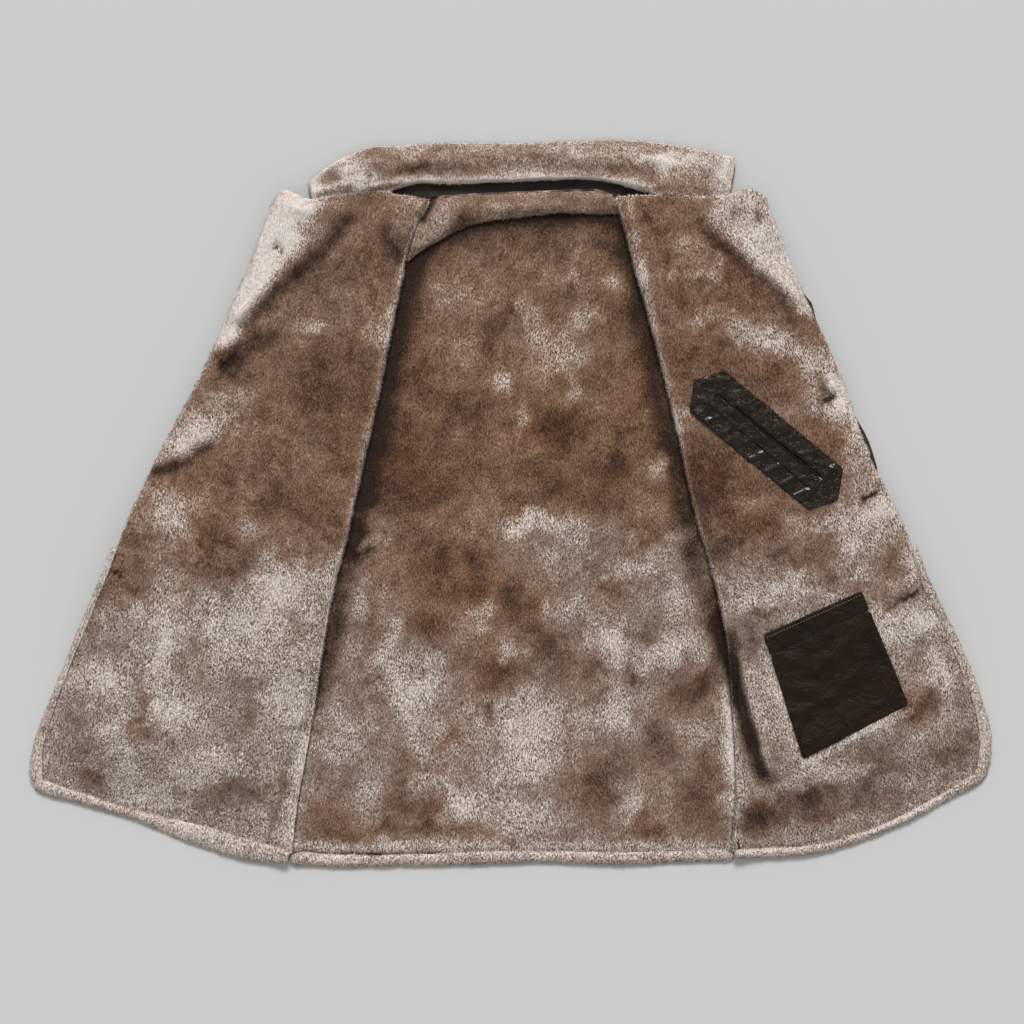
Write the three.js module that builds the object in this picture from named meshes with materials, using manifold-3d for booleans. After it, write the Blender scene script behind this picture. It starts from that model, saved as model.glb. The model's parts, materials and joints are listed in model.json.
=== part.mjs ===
// Hip-length shearling coat, laid open on its back with the lining up.
// Both fronts are turned outward over themselves, so their pile faces up too.
// Millimetres, +Z up, +Y toward the collar, +X toward the wearer's left front.
// The origin is under the middle of the coat, on the surface it lies on.
import * as THREE from 'three';
import { mergeVertices } from 'three/addons/utils/BufferGeometryUtils.js';
import Module from 'manifold-3d';

// ---------------------------------------------------------------- driving sizes
const SEAM_GAP = 0.3; // between two pieces sewn or lying together
const WALL = 8; // skin and pile of the body panels
const EDGE_WALL = 0.6; // share of the wall left at a panel's rounded edge
const EDGE_ROUNDING = [0, 6, 16]; // steps in from an edge over which it rounds
const TURN_GAP = 0.7; // leather to leather, inside a turned front
const SLEEVE_HEIGHT = 16; // both layers of a sleeve, pile filling the inside
const SLEEVE_REACH = 22; // how far past a sleeve the front above stays level
const DRAPE_LENGTH = 58; // over which a front comes down to the surface
const NARROW_FALL = 16; // over which it comes down at the hem, where nothing is turned under
const STEP_RISE = 16; // beyond the crease beside the side seam: its rise, its level, its end
const STEP_LEVEL = 30;
const STEP_END = 130;
const SLEEVE_ROOM = 0.8; // between a sleeve and the front over it
const FOLD_BLEND = 20; // from the fold's height to the draped height
const HIDDEN_EDGE = 0.7; // share of the turned-under wall left at the side seam
const PATCH_LIFT = 0.8; // over the facets of the panel below
const LEATHER = 2; // pocket patches, with their turned edges
const THIN_LEATHER = 1.4; // under-collar
const BUTTON_RADIUS = 12;
const BUTTON_HEIGHT = 4.4;
const BUTTON_RIM = { inset: 2, from: 1.4, to: 3 };
const BACK_WIDTH = 540; // nominal spans, used to space the sections near an edge
const BACK_HEIGHT = 752;
const FRONT_HEIGHT = 790;
const SLEEVE_LENGTH = 640;
const COLLAR_LENGTH = 520;
const STAND_LENGTH = 250;
const STATIONS = 20; // sections of a front between its rounded ends
const FLAP_COLUMNS = 11; // columns of a front between its fold and its edge

const PILE_COLOUR = 0x8b7868;
const PILE_LIGHT = 0xa89888;
const LEATHER_COLOUR = 0x2d2620;
const HORN_COLOUR = 0x2a1d14;

// ---------------------------------------------------------------- tables
// Each row is one section; the first column says where along the piece it lies.
function table(columns, rows) {
  return rows.map((row) => Object.fromEntries(columns.map((name, i) => [name, row[i]])));
}

// One column of a table at any place, on a smooth curve through its rows.
function read(rows, at, column) {
  const last = rows.length - 1;
  let i = 0;
  while (i < last - 1 && at > rows[i + 1].at) i += 1;
  const slope = (k) => {
    const before = rows[Math.max(k - 1, 0)];
    const after = rows[Math.min(k + 1, last)];
    return (after[column] - before[column]) / (after.at - before.at);
  };
  const span = rows[i + 1].at - rows[i].at;
  const t = THREE.MathUtils.clamp((at - rows[i].at) / span, 0, 1);
  const ease = t * t * (3 - 2 * t);
  const leave = t * (1 - t) * (1 - t) * span * slope(i);
  const arrive = t * t * (t - 1) * span * slope(i + 1);
  return rows[i][column] * (1 - ease) + rows[i + 1][column] * ease + leave + arrive;
}

// The body's two sides, where back and fronts are sewn: side seam, then armhole.
const BODY_SIDES = table(['at', 'right', 'left'], [
  [-420, -268, 269],
  [-345, -271, 273],
  [-190, -273, 275],
  [100, -273, 275],
  [135, -262, 264],
  [175, -246, 249],
  [225, -236, 240],
  [280, -233, 237],
  [335, -236, 240],
]);
const BODY_BOTTOM = { right: -419, left: -416 };
const BODY_TOP = 333;

// The back's hem and neck lines, as a rise over the straight line between its corners.
const BACK_HEM = table(['at', 'rise'], [
  [0, 0], [0.15, -5], [0.3, -4], [0.5, -1], [0.7, -3], [0.88, -2], [1, 0],
]);
const BACK_NECK = table(['at', 'rise'], [
  [0, 0], [0.29, 27], [0.35, 17], [0.42, 12], [0.53, 15], [0.64, 18], [0.72, 20], [0.76, 28], [1, 0],
]);

// A front, from the hem (0) to the neck (1): where its hidden part starts on the side seam,
// its fold, its edge, how much of the wall is turned under at the fold, the crease beside
// the side seam with the step beyond it, and the width of the rolled edge outside it.
const FRONT_COLUMNS = ['at', 'seamY', 'foldX', 'foldY', 'edgeX', 'edgeY', 'turn', 'creaseX', 'step', 'roll'];
const FRONT_RIGHT = table(FRONT_COLUMNS, [
  [0.00, -417, -262, -419, -562, -333, 0.1, -291, 2, 14],
  [0.05, -378, -259, -380, -563, -303, 0.1, -285, 4, 12],
  [0.12, -325, -250, -325, -556, -272, 0.2, -268, 8, 9],
  [0.20, -262, -238, -263, -541, -229, 0.6, -245, 10, 6],
  [0.30, -182, -227, -185, -515, -166, 1, -230, 10, 5],
  [0.40, -102, -213, -107, -484, -95, 1, -220, 10, 5],
  [0.48, -38, -197, -45, -461, -33, 1, -210, 10, 3],
  [0.52, -5, -190, -14, -452, -12, 1, -200, 10, 0],
  [0.60, 60, -176, 49, -423, 50, 1, -190, 10, 0],
  [0.70, 122, -158, 127, -382, 127, 1, -180, 10, 0],
  [0.80, 196, -143, 205, -347, 199, 1, -170, 10, 0],
  [0.90, 270, -127, 283, -313, 280, 1, -160, 10, 0],
  [0.95, 302, -122, 312, -297, 323, 1, -160, 10, 0],
  [1.00, 333, -98, 360, -280, 366, 1, -160, 10, 0],
]);
const FRONT_LEFT = table(FRONT_COLUMNS, [
  [0.00, -414, 264, -416, 556, -325, 0.1, 300, 0, 12],
  [0.05, -376, 267, -378, 563, -296, 0.1, 302, 2, 14],
  [0.12, -325, 269, -325, 560, -266, 0.1, 298, 10, 11],
  [0.20, -262, 266, -263, 548, -222, 0.4, 283, 14, 9],
  [0.26, -214, 262, -214, 532, -184, 0.9, 274, 15, 9],
  [0.30, -182, 261, -182, 519, -158, 1, 266, 15, 9],
  [0.40, -102, 246, -105, 488, -92, 1, 255, 12, 7],
  [0.48, -38, 227, -38, 470, -32, 1, 240, 10, 4],
  [0.52, -5, 218, -8, 458, -6, 1, 230, 10, 0],
  [0.60, 60, 205, 55, 427, 52, 1, 220, 10, 0],
  [0.70, 122, 188, 127, 401, 127, 1, 210, 10, 0],
  [0.80, 196, 170, 200, 371, 199, 1, 200, 10, 0],
  [0.90, 270, 148, 278, 334, 277, 1, 190, 10, 0],
  [0.95, 302, 138, 318, 318, 321, 1, 190, 10, 0],
  [1.00, 333, 124, 364, 303, 364, 1, 190, 10, 0],
]);

// Hem and top edge of each front, as a rise over the straight line from fold to edge,
// and the width of the rolled hem below it.
const FRONT_RIGHT_HEM = table(['at', 'rise', 'roll'], [
  [0, 0, 13], [0.14, 0, 22], [0.36, 1, 23], [0.52, -3, 15], [0.62, -5, 8], [0.85, -2, 11], [1, 0, 14],
]);
const FRONT_LEFT_HEM = table(['at', 'rise', 'roll'], [
  [0, 0, 8], [0.2, -17, 9], [0.34, -26, 9], [0.46, -29, 8], [0.68, -25, 7], [0.9, -9, 9], [1, 0, 12],
]);
const FRONT_RIGHT_TOP = table(['at', 'rise'], [
  [0, 0], [0.22, 6], [0.5, 4], [0.7, -3], [0.79, -7], [0.87, 2], [0.93, 7], [1, 0],
]);
const FRONT_LEFT_TOP = table(['at', 'rise'], [
  [0, 0], [0.2, 2], [0.6, -1], [0.72, 0], [0.8, 6], [0.9, 10], [1, 0],
]);
const HEM_FADE = 0.3; // share of a front's height over which its hem's curve dies out
const TOP_FADE = 0.1;

// A sleeve, from the shoulder (0) to the cuff (1): its inner and its outer edge.
const SLEEVE_COLUMNS = ['at', 'innerX', 'innerY', 'outerX', 'outerY'];
const SLEEVE_RIGHT = table(SLEEVE_COLUMNS, [
  [0.00, -238, 336, -258, 338],
  [0.10, -230, 290, -292, 290],
  [0.20, -230, 235, -319, 235],
  [0.32, -240, 167, -350, 167],
  [0.42, -270, 112, -376, 112],
  [0.52, -284, 50, -411, 50],
  [0.62, -294, -20, -438, -22],
  [0.75, -308, -110, -455, -100],
  [0.88, -326, -210, -468, -185],
  [1.00, -345, -302, -480, -262],
]);
const SLEEVE_LEFT = table(SLEEVE_COLUMNS, [
  [0.00, 242, 336, 264, 338],
  [0.10, 230, 290, 316, 290],
  [0.17, 230, 254, 345, 254],
  [0.22, 230, 230, 363, 231],
  [0.28, 235, 200, 368, 200],
  [0.36, 245, 155, 386, 155],
  [0.42, 270, 118, 400, 118],
  [0.47, 280, 88, 417, 88],
  [0.52, 284, 54, 434, 54],
  [0.57, 288, 20, 442, 22],
  [0.64, 296, -25, 450, -22],
  [0.75, 308, -110, 470, -100],
  [0.88, 326, -210, 482, -185],
  [1.00, 345, -302, 492, -262],
]);
const SLEEVE_WALLS = { shoulder: 0.55, cuff: 0.7, edge: 0.35 }; // shares of its height left there
const SLEEVE_ROUNDING = [0, 5, 14];
const CUFF_SLIT = { depth: 40, width: 100, height: 2, z: 5.8 };

// The collar, from the wearer's right end (0) to the left (1): its seam or free lower edge,
// its outer edge, and how far the raised fronts lift it.
const COLLAR = table(['at', 'lowX', 'lowY', 'topX', 'topY', 'lift'], [
  [0.00, -236, 360, -243, 382, 13],
  [0.05, -222, 363, -228, 395, 13],
  [0.13, -191, 369, -198, 413, 13],
  [0.21, -161, 371, -162, 426, 11],
  [0.28, -138, 373, -141, 425, 7],
  [0.35, -113, 383, -113, 429, 1],
  [0.45, -74, 381, -74, 430, 0],
  [0.60, 15, 385, 10, 430, 0],
  [0.80, 118, 386, 124, 434, 0],
  [0.85, 142, 375, 158, 432, 3],
  [0.90, 168, 368, 190, 428, 7],
  [0.95, 215, 366, 230, 421, 8],
  [1.00, 260, 373, 269, 412, 8],
]);
// Its section, from the rolled lower edge to the thin outer edge.
const COLLAR_SECTION = table(['at', 'under', 'over'], [
  [0, 6, 11], [0.1, 3, 16], [0.28, 1.7, 17.5], [0.52, 1.7, 15], [0.8, 1.7, 12], [0.93, 2.4, 9.5], [1, 4, 7],
]);
const COLLAR_FALL = 0.7; // share of its lift that the collar loses toward its outer edge
const COLLAR_MIDDLE = 12;
const SEWN_FROM = 150; // either side of its middle, where it meets the fronts
const COLLAR_END_WALL = 0.5; // share of its wall left at its ends
const UNDER_COLLAR_REACH = { low: 12, slit: 9, top: 6, ends: 2 };

// The stand, from the wearer's right end (0) to the left (1): its lower and its upper edge.
const STAND = table(['at', 'lowX', 'lowY', 'topX', 'topY'], [
  [0.00, -121, 286, -95, 367],
  [0.12, -104, 301, -88, 370],
  [0.28, -70, 323, -62, 373],
  [0.45, -34, 336, -26, 375],
  [0.62, 15, 342, 15, 377],
  [0.80, 65, 347, 65, 379],
  [0.93, 105, 345, 106, 380],
  [1.00, 127, 345, 117, 371],
]);
// How high the stand's pile stands over its underside, across its width.
const STAND_SECTION = table(['at', 'over'], [
  [0, 5], [0.12, 9.5], [0.35, 12], [0.65, 12], [0.88, 10], [1, 6],
]);
const STAND_DROP = 14; // over which the stand comes down off the back's neck edge
const STAND_CLEAR = 6; // past that edge, where it starts to

// Half-section of a rolled edge: share of its width, underside and top.
const ROLL_SECTION = table(['at', 'under', 'over'], [
  [0, 0, 6.5], [0.3, 0, 9.5], [0.65, 0, 9.2], [1, 2, 5.5],
]);

// Pockets on the wearer's left front.
const WELT_PATCH = { x: 303, y: 74, turn: -39.5, halfLength: 92, tip: 19, halfWidth: 32 };
const WELT_LIP = { halfLength: 79, from: -11, to: 5, thickness: 1.5 };
const PATCH_POCKET = {
  topRight: [300, -157],
  topLeft: [416, -105],
  bottomLeft: [472, -240],
  bottomRight: [347, -305],
  band: 0.17, // share of its height
  bandThickness: 2.6,
};

const BAND_SEAM = 0.002; // share of the pocket's height

const BUTTON_PLACES = table(['x', 'y'], [
  [-272, 302],
  [-333, 166],
  [-397, 41],
  [-460, -85],
]);

// ---------------------------------------------------------------- helpers
const { clamp, lerp, smoothstep, degToRad } = THREE.MathUtils;

function steps(count) {
  return Array.from({ length: count + 1 }, (_, i) => i / count);
}

// The greatest of some heights, with a soft passage from one to the next.
function softMax(heights) {
  const sharpness = 8;
  const sum = heights.reduce((total, h) => total + Math.max(h, 0) ** sharpness, 0);
  return sum ** (1 / sharpness);
}

// Places from 0 to 1 that crowd at both ends, where a wall's edge rounds.
function roundedSteps(count, length) {
  const near = EDGE_ROUNDING.map((d) => d / length);
  const middle = steps(count).map((t) => lerp(near[2], 1 - near[2], t));
  return [near[0], near[1], ...middle, 1 - near[1], 1 - near[0]];
}

// Share of the full wall at a distance from an edge.
function roundOff(distance, share = EDGE_WALL) {
  const t = clamp(distance / EDGE_ROUNDING[2], 0, 1);
  return lerp(share, 1, Math.sqrt(t * (2 - t)));
}

// A closed wall between two grids of points with the same rows and columns.
function slab(upper, lower) {
  const rows = upper.length;
  const columns = upper[0].length;
  const points = [...upper.flat(), ...lower.flat()];
  const top = (j, i) => j * columns + i;
  const under = (j, i) => rows * columns + j * columns + i;
  const faces = [];
  const quad = (a, b, c, d) => faces.push(a, b, c, a, c, d);
  for (let j = 0; j < rows - 1; j += 1) {
    for (let i = 0; i < columns - 1; i += 1) {
      quad(top(j, i), top(j, i + 1), top(j + 1, i + 1), top(j + 1, i));
      quad(under(j, i), under(j + 1, i), under(j + 1, i + 1), under(j, i + 1));
    }
    quad(top(j, 0), top(j + 1, 0), under(j + 1, 0), under(j, 0));
    quad(top(j + 1, columns - 1), top(j, columns - 1), under(j, columns - 1), under(j + 1, columns - 1));
  }
  for (let i = 0; i < columns - 1; i += 1) {
    quad(top(0, i + 1), top(0, i), under(0, i), under(0, i + 1));
    quad(top(rows - 1, i), top(rows - 1, i + 1), under(rows - 1, i + 1), under(rows - 1, i));
  }
  return closedGeometry(points, faces);
}

// A geometry whose faces point out, whichever way its grid ran.
function closedGeometry(points, faces) {
  let volume = 0;
  for (let k = 0; k < faces.length; k += 3) {
    const [a, b, c] = [points[faces[k]], points[faces[k + 1]], points[faces[k + 2]]];
    volume += a.dot(b.clone().cross(c));
  }
  const outward = [];
  for (let k = 0; k < faces.length; k += 3) {
    const [a, b, c] = faces.slice(k, k + 3);
    outward.push(...(volume > 0 ? [a, b, c] : [a, c, b]));
  }
  const geometry = new THREE.BufferGeometry().setFromPoints(points);
  geometry.setIndex(outward);
  return geometry;
}

const coat = new THREE.Group();

function addPiece(name, geometry, colour, roughness) {
  const material = new THREE.MeshStandardMaterial({ color: colour, roughness, metalness: 0 });
  const mesh = new THREE.Mesh(geometry, material);
  mesh.name = name;
  coat.add(mesh);
  return mesh;
}

const caster = new THREE.Raycaster();

// Height of a piece's highest face at a place, or of its lowest when looked at from below.
function heightOf(mesh, x, y, fromBelow = false) {
  mesh.material.side = THREE.DoubleSide;
  const from = new THREE.Vector3(x, y, fromBelow ? -100 : 200);
  caster.set(from, new THREE.Vector3(0, 0, fromBelow ? 1 : -1));
  const hits = caster.intersectObject(mesh);
  if (hits.length === 0) throw new Error(`${mesh.name} is not at ${x}, ${y}`);
  return hits[0].point.z;
}

// ---------------------------------------------------------------- back
const backStations = roundedSteps(13, BACK_HEIGHT);

// The body's side at a height, straight between the back's sections as its faces are.
function bodySide(side, y) {
  const bottom = BODY_BOTTOM[side];
  const v = clamp((y - bottom) / (BODY_TOP - bottom), 0, 1);
  const after = Math.max(backStations.findIndex((station) => station >= v), 1);
  const [low, high] = [backStations[after - 1], backStations[after]];
  const at = (station) => read(BODY_SIDES, lerp(bottom, BODY_TOP, station), side);
  return lerp(at(low), at(high), (v - low) / (high - low));
}

function backPoint(u, v) {
  const rightY = lerp(BODY_BOTTOM.right, BODY_TOP, v);
  const leftY = lerp(BODY_BOTTOM.left, BODY_TOP, v);
  const x = lerp(bodySide('right', rightY), bodySide('left', leftY), u);
  const hem = read(BACK_HEM, u, 'rise') * (1 - smoothstep(v, 0, HEM_FADE));
  const neck = read(BACK_NECK, u, 'rise') * smoothstep(v, 0.8, 1);
  return new THREE.Vector2(x, lerp(rightY, leftY, u) + hem + neck);
}

function back() {
  const upper = [];
  const lower = [];
  for (const v of backStations) {
    const across = roundedSteps(12, BACK_WIDTH).map((u) => {
      const p = backPoint(u, v);
      const inset = Math.min(Math.min(u, 1 - u) * BACK_WIDTH, Math.min(v, 1 - v) * BACK_HEIGHT);
      return new THREE.Vector3(p.x, p.y, WALL * roundOff(inset));
    });
    upper.push(across);
    lower.push(across.map((p) => new THREE.Vector3(p.x, p.y, 0)));
  }
  return slab(upper, lower);
}

// ---------------------------------------------------------------- sleeves
// A sleeve's inner or outer edge at a height along the coat.
function sleeveEdge(rows, edge, y) {
  const byHeight = rows.map((row) => ({ at: -row[`${edge}Y`], x: row[`${edge}X`] }));
  return read(byHeight, clamp(-y, byHeight[0].at, byHeight.at(-1).at), 'x');
}

// A sleeve's inner edge keeps clear of the armhole it is sewn into.
function sleeveInner(side, x, y) {
  const seam = bodySide(side, y);
  return Math.sign(seam) * Math.max(Math.abs(x), Math.abs(seam) + SEAM_GAP * 2);
}

function sleevePoint(side, rows, u, v) {
  const innerY = read(rows, v, 'innerY');
  const innerX = sleeveInner(side, read(rows, v, 'innerX'), innerY);
  const inner = new THREE.Vector2(innerX, innerY);
  const outer = new THREE.Vector2(read(rows, v, 'outerX'), read(rows, v, 'outerY'));
  return inner.lerp(outer, u);
}

// A sleeve lies flattened: a rounded solid with its two layers parted at the cuff.
function sleeve(side, rows, wasm) {
  const upper = [];
  const lower = [];
  for (const v of roundedSteps(11, SLEEVE_LENGTH)) {
    const width = sleevePoint(side, rows, 0, v).distanceTo(sleevePoint(side, rows, 1, v));
    const shoulder = roundOff(v * SLEEVE_LENGTH, SLEEVE_WALLS.shoulder);
    const cuff = roundOff((1 - v) * SLEEVE_LENGTH, SLEEVE_WALLS.cuff);
    const ends = Math.min(shoulder, cuff);
    const near = SLEEVE_ROUNDING.map((d) => d / width);
    const places = [...near, 0.35, 0.65, ...near.map((t) => 1 - t).reverse()];
    const across = places.map((u) => {
      const p = sleevePoint(side, rows, u, v);
      const edge = roundOff(Math.min(u, 1 - u) * width, SLEEVE_WALLS.edge);
      return new THREE.Vector3(p.x, p.y, SLEEVE_HEIGHT * edge * ends);
    });
    upper.push(across);
    lower.push(across.map((p) => new THREE.Vector3(p.x, p.y, 0)));
  }
  const cuffInner = sleevePoint(side, rows, 0, 1);
  const cuffOuter = sleevePoint(side, rows, 1, 1);
  const slit = new THREE.BoxGeometry(CUFF_SLIT.width, CUFF_SLIT.depth * 2, CUFF_SLIT.height);
  slit.rotateZ(Math.atan2(cuffOuter.y - cuffInner.y, cuffOuter.x - cuffInner.x));
  const middle = cuffInner.clone().lerp(cuffOuter, 0.5);
  slit.translate(middle.x, middle.y, CUFF_SLIT.z);
  return cut(wasm, slab(upper, lower), slit);
}

function toSolid(wasm, geometry) {
  const bare = geometry.clone();
  bare.deleteAttribute('normal');
  bare.deleteAttribute('uv');
  const merged = mergeVertices(bare, 1e-3);
  return new wasm.Manifold(new wasm.Mesh({
    numProp: 3,
    vertProperties: merged.attributes.position.array,
    triVerts: new Uint32Array(merged.index.array),
  }));
}

function cut(wasm, body, tool) {
  const mesh = toSolid(wasm, body).subtract(toSolid(wasm, tool)).getMesh();
  const geometry = new THREE.BufferGeometry();
  geometry.setAttribute('position', new THREE.BufferAttribute(mesh.vertProperties, 3));
  geometry.setIndex(new THREE.BufferAttribute(mesh.triVerts, 1));
  return geometry;
}

// ---------------------------------------------------------------- fronts
const FRONTS = {
  right: { rows: FRONT_RIGHT, hem: FRONT_RIGHT_HEM, top: FRONT_RIGHT_TOP, sleeve: SLEEVE_RIGHT },
  left: { rows: FRONT_LEFT, hem: FRONT_LEFT_HEM, top: FRONT_LEFT_TOP, sleeve: SLEEVE_LEFT },
};
// Room over the right sleeve for the buttons, and how far that front's edge hangs down.
const BUTTON_ROOM = { right: BUTTON_HEIGHT + 1, left: 0 };
const EDGE_DROOP = { right: 6, left: 0 };
const DROOP_LENGTH = 10;
const ROLL_REACH = 0.5; // share of a front's height up which its edge is rolled
// The lapel's roll line on each front, a low ridge across its top outer corner.
const LAPEL_ROLL = {
  right: { from: [-232, 336], to: [-345, 206], height: 3, halfWidth: 26 },
  left: { from: [262, 326], to: [360, 212], height: 3, halfWidth: 26 },
};

function frontPoint(side, u, v) {
  const { rows, hem, top } = FRONTS[side];
  const x = lerp(read(rows, v, 'foldX'), read(rows, v, 'edgeX'), u);
  const y = lerp(read(rows, v, 'foldY'), read(rows, v, 'edgeY'), u);
  const low = read(hem, u, 'rise') * (1 - smoothstep(v, 0, HEM_FADE));
  const high = read(top, u, 'rise') * smoothstep(v, 1 - TOP_FADE, 1);
  return new THREE.Vector2(x, y + low + high);
}

// Levels of a front's section at a station: the turned-under part, then the part above it.
function levels(side, v, share) {
  const turned = WALL * read(FRONTS[side].rows, v, 'turn');
  const pileUnder = WALL + SEAM_GAP + turned * (1 - share);
  const leatherUnder = WALL + SEAM_GAP + turned;
  const leatherOver = leatherUnder + TURN_GAP;
  return { pileUnder, leatherUnder, leatherOver, pileOver: leatherOver + WALL * share };
}

function distanceToLine(p, line) {
  const a = new THREE.Vector2(...line.from);
  const b = new THREE.Vector2(...line.to);
  const along = b.clone().sub(a);
  const t = clamp(p.clone().sub(a).dot(along) / along.lengthSq(), 0, 1);
  return p.distanceTo(a.addScaledVector(along, t));
}

// Height of a turned-out front's leather side: over the part turned under, over the sleeve,
// over the soft step beside the side seam, and down to the surface beyond them.
function drape(side, p, v) {
  const { rows, sleeve: sleeveRows } = FRONTS[side];
  const sign = side === 'left' ? 1 : -1;
  const x = sign * p.x;
  const seam = Math.abs(bodySide(side, p.y));
  const turn = read(rows, v, 'turn');
  const fall = lerp(NARROW_FALL, DRAPE_LENGTH, smoothstep(turn, 0.1, 1));
  const stack = levels(side, v, 1).leatherOver * (1 - smoothstep(x, seam, seam + fall));

  const crease = sign * read(rows, v, 'creaseX');
  const rise = smoothstep(x, crease, crease + STEP_RISE);
  const sink = smoothstep(x, crease + STEP_LEVEL, crease + STEP_END);
  const step = read(rows, v, 'step') * rise * (1 - sink);

  const inner = Math.abs(sleeveEdge(sleeveRows, 'inner', p.y));
  const outer = Math.abs(sleeveEdge(sleeveRows, 'outer', p.y));
  const cuff = sleeveRows.at(-1);
  const across = (x - Math.abs(cuff.innerX)) / (Math.abs(cuff.outerX) - Math.abs(cuff.innerX));
  const cuffY = lerp(cuff.innerY, cuff.outerY, clamp(across, 0, 1));
  const aside = Math.max(inner - x, x - outer, 0);
  const past = Math.max(cuffY - p.y, 0);
  const away = Math.hypot(aside, past);
  const over = SLEEVE_HEIGHT + SLEEVE_ROOM + BUTTON_ROOM[side];
  const sleeveMound = over * (1 - smoothstep(away, SLEEVE_REACH, SLEEVE_REACH + DRAPE_LENGTH));

  const lapel = LAPEL_ROLL[side];
  const roll = lapel.height * (1 - smoothstep(distanceToLine(p, lapel), 0, lapel.halfWidth));
  return softMax([stack, step, sleeveMound]) + roll;
}

const frontStations = roundedSteps(STATIONS, FRONT_HEIGHT);

// The columns of a front's turned-out part, from its fold to its edge.
function flapPlaces(reach, radius) {
  const inner = radius / reach;
  const outer = 1 - EDGE_ROUNDING[2] / reach;
  const across = steps(FLAP_COLUMNS).map((t) => lerp(inner, outer, t));
  return [...across, 1 - EDGE_ROUNDING[1] / reach, 1];
}

function front(side) {
  const { rows } = FRONTS[side];
  const upper = [];
  const lower = [];
  for (const v of frontStations) {
    const seamY = read(rows, v, 'seamY');
    const seam = new THREE.Vector2(bodySide(side, seamY), seamY);
    const fold = frontPoint(side, 0, v);
    const reach = fold.distanceTo(frontPoint(side, 1, v));
    const share = roundOff(Math.min(v, 1 - v) * FRONT_HEIGHT);
    const level = levels(side, v, share);
    const radius = (level.pileOver - level.pileUnder) / 2;
    const pile = [];
    const leather = [];
    const add = (at, pileHeight, leatherHeight, leatherAt = at) => {
      pile.push(new THREE.Vector3(at.x, at.y, pileHeight));
      leather.push(new THREE.Vector3(leatherAt.x, leatherAt.y, leatherHeight));
    };
    const hidden = Math.max(fold.distanceTo(seam), radius + 1);
    for (const t of steps(3)) {
      const from = lerp(hidden, radius, t);
      const edge = t === 0 ? HIDDEN_EDGE : 1;
      const at = fold.clone().lerp(seam, from / fold.distanceTo(seam));
      add(at, lerp(level.leatherUnder, level.pileUnder, edge), level.leatherUnder);
    }
    const outward = (d) => frontPoint(side, d / reach, v);
    for (const angle of [-60, -30, 0, 30, 60]) {
      const a = degToRad(angle);
      const pileAt = outward(radius * (1 - Math.cos(a)));
      const leatherAt = outward(radius - (TURN_GAP / 2) * Math.cos(a));
      const pileHeight = (level.pileOver + level.pileUnder) / 2 + radius * Math.sin(a);
      const leatherHeight = (level.leatherOver + level.leatherUnder) / 2 + (TURN_GAP / 2) * Math.sin(a);
      add(pileAt, pileHeight, leatherHeight, leatherAt);
    }
    for (const u of flapPlaces(reach, radius)) {
      const at = frontPoint(side, u, v);
      const fromEdge = (1 - u) * reach;
      const unrolled = smoothstep(v, ROLL_REACH - 0.05, ROLL_REACH + 0.1);
      const droop = EDGE_DROOP[side] * unrolled * (1 - smoothstep(fromEdge, 0, DROOP_LENGTH));
      const base = Math.max(drape(side, at, v) - droop, 0);
      const blend = smoothstep(u * reach - radius, 0, FOLD_BLEND);
      const z = lerp(level.leatherOver, base, blend);
      add(at, z + WALL * Math.min(share, roundOff(fromEdge)), z);
    }
    upper.push(pile);
    lower.push(leather);
  }
  return slab(upper, lower);
}

// ---------------------------------------------------------------- rolled edges
const HEM_ROLL = 12; // width of the back's rolled hem
const HEM_ROLL_VARIES = 1.5;
const ROLL_END = 1.5; // its width where it runs out up a front's edge
const ROLL_START = 5; // past the side seam, where the front's rolled hem meets the back's

// A rounded strip along a seam line: its inner edge follows the line, a seam's gap away.
function rolledEdge(line, widths, heights) {
  const upper = [];
  const lower = [];
  line.forEach((p, k) => {
    const before = line[Math.max(k - 1, 0)];
    const after = line[Math.min(k + 1, line.length - 1)];
    const along = after.clone().sub(before).normalize();
    const outward = new THREE.Vector2(along.y, -along.x);
    const place = (t) => p.clone().addScaledVector(outward, SEAM_GAP + t * widths[k]);
    upper.push(ROLL_SECTION.map((row) => {
      const q = place(row.at);
      return new THREE.Vector3(q.x, q.y, heights[k] + row.over);
    }));
    lower.push(ROLL_SECTION.map((row) => {
      const q = place(row.at);
      return new THREE.Vector3(q.x, q.y, heights[k] + row.under);
    }));
  });
  return slab(upper, lower);
}

function backHemRoll() {
  const places = roundedSteps(12, BACK_WIDTH).slice(1, -1);
  const line = places.map((u) => backPoint(u, 0));
  const widths = places.map((u) => HEM_ROLL + HEM_ROLL_VARIES * Math.sin(19 * u));
  return rolledEdge(line, widths, places.map(() => 0));
}

// Along a front's hem, round its corner and up its edge, until the roll runs out.
function frontRoll(side) {
  const { rows, hem } = FRONTS[side];
  const reach = frontPoint(side, 0, 0).distanceTo(frontPoint(side, 1, 0));
  const hemPlaces = flapPlaces(reach, ROLL_START);
  const edgePlaces = frontStations.filter((v) => v > 0 && v < ROLL_REACH);
  const stations = [
    ...hemPlaces.map((u) => ({ u, v: 0, width: read(hem, u, 'roll') })),
    ...edgePlaces.map((v) => ({ u: 1, v, width: Math.max(read(rows, v, 'roll'), ROLL_END) })),
  ];
  const line = stations.map(({ u, v }) => frontPoint(side, u, v));
  const widths = stations.map(({ width }) => width);
  const heights = stations.map(({ u, v }) => Math.max(drape(side, frontPoint(side, u, v), v), 0));
  if (side === 'right') {
    line.reverse();
    widths.reverse();
    heights.reverse();
  }
  return rolledEdge(line, widths, heights);
}

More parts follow.
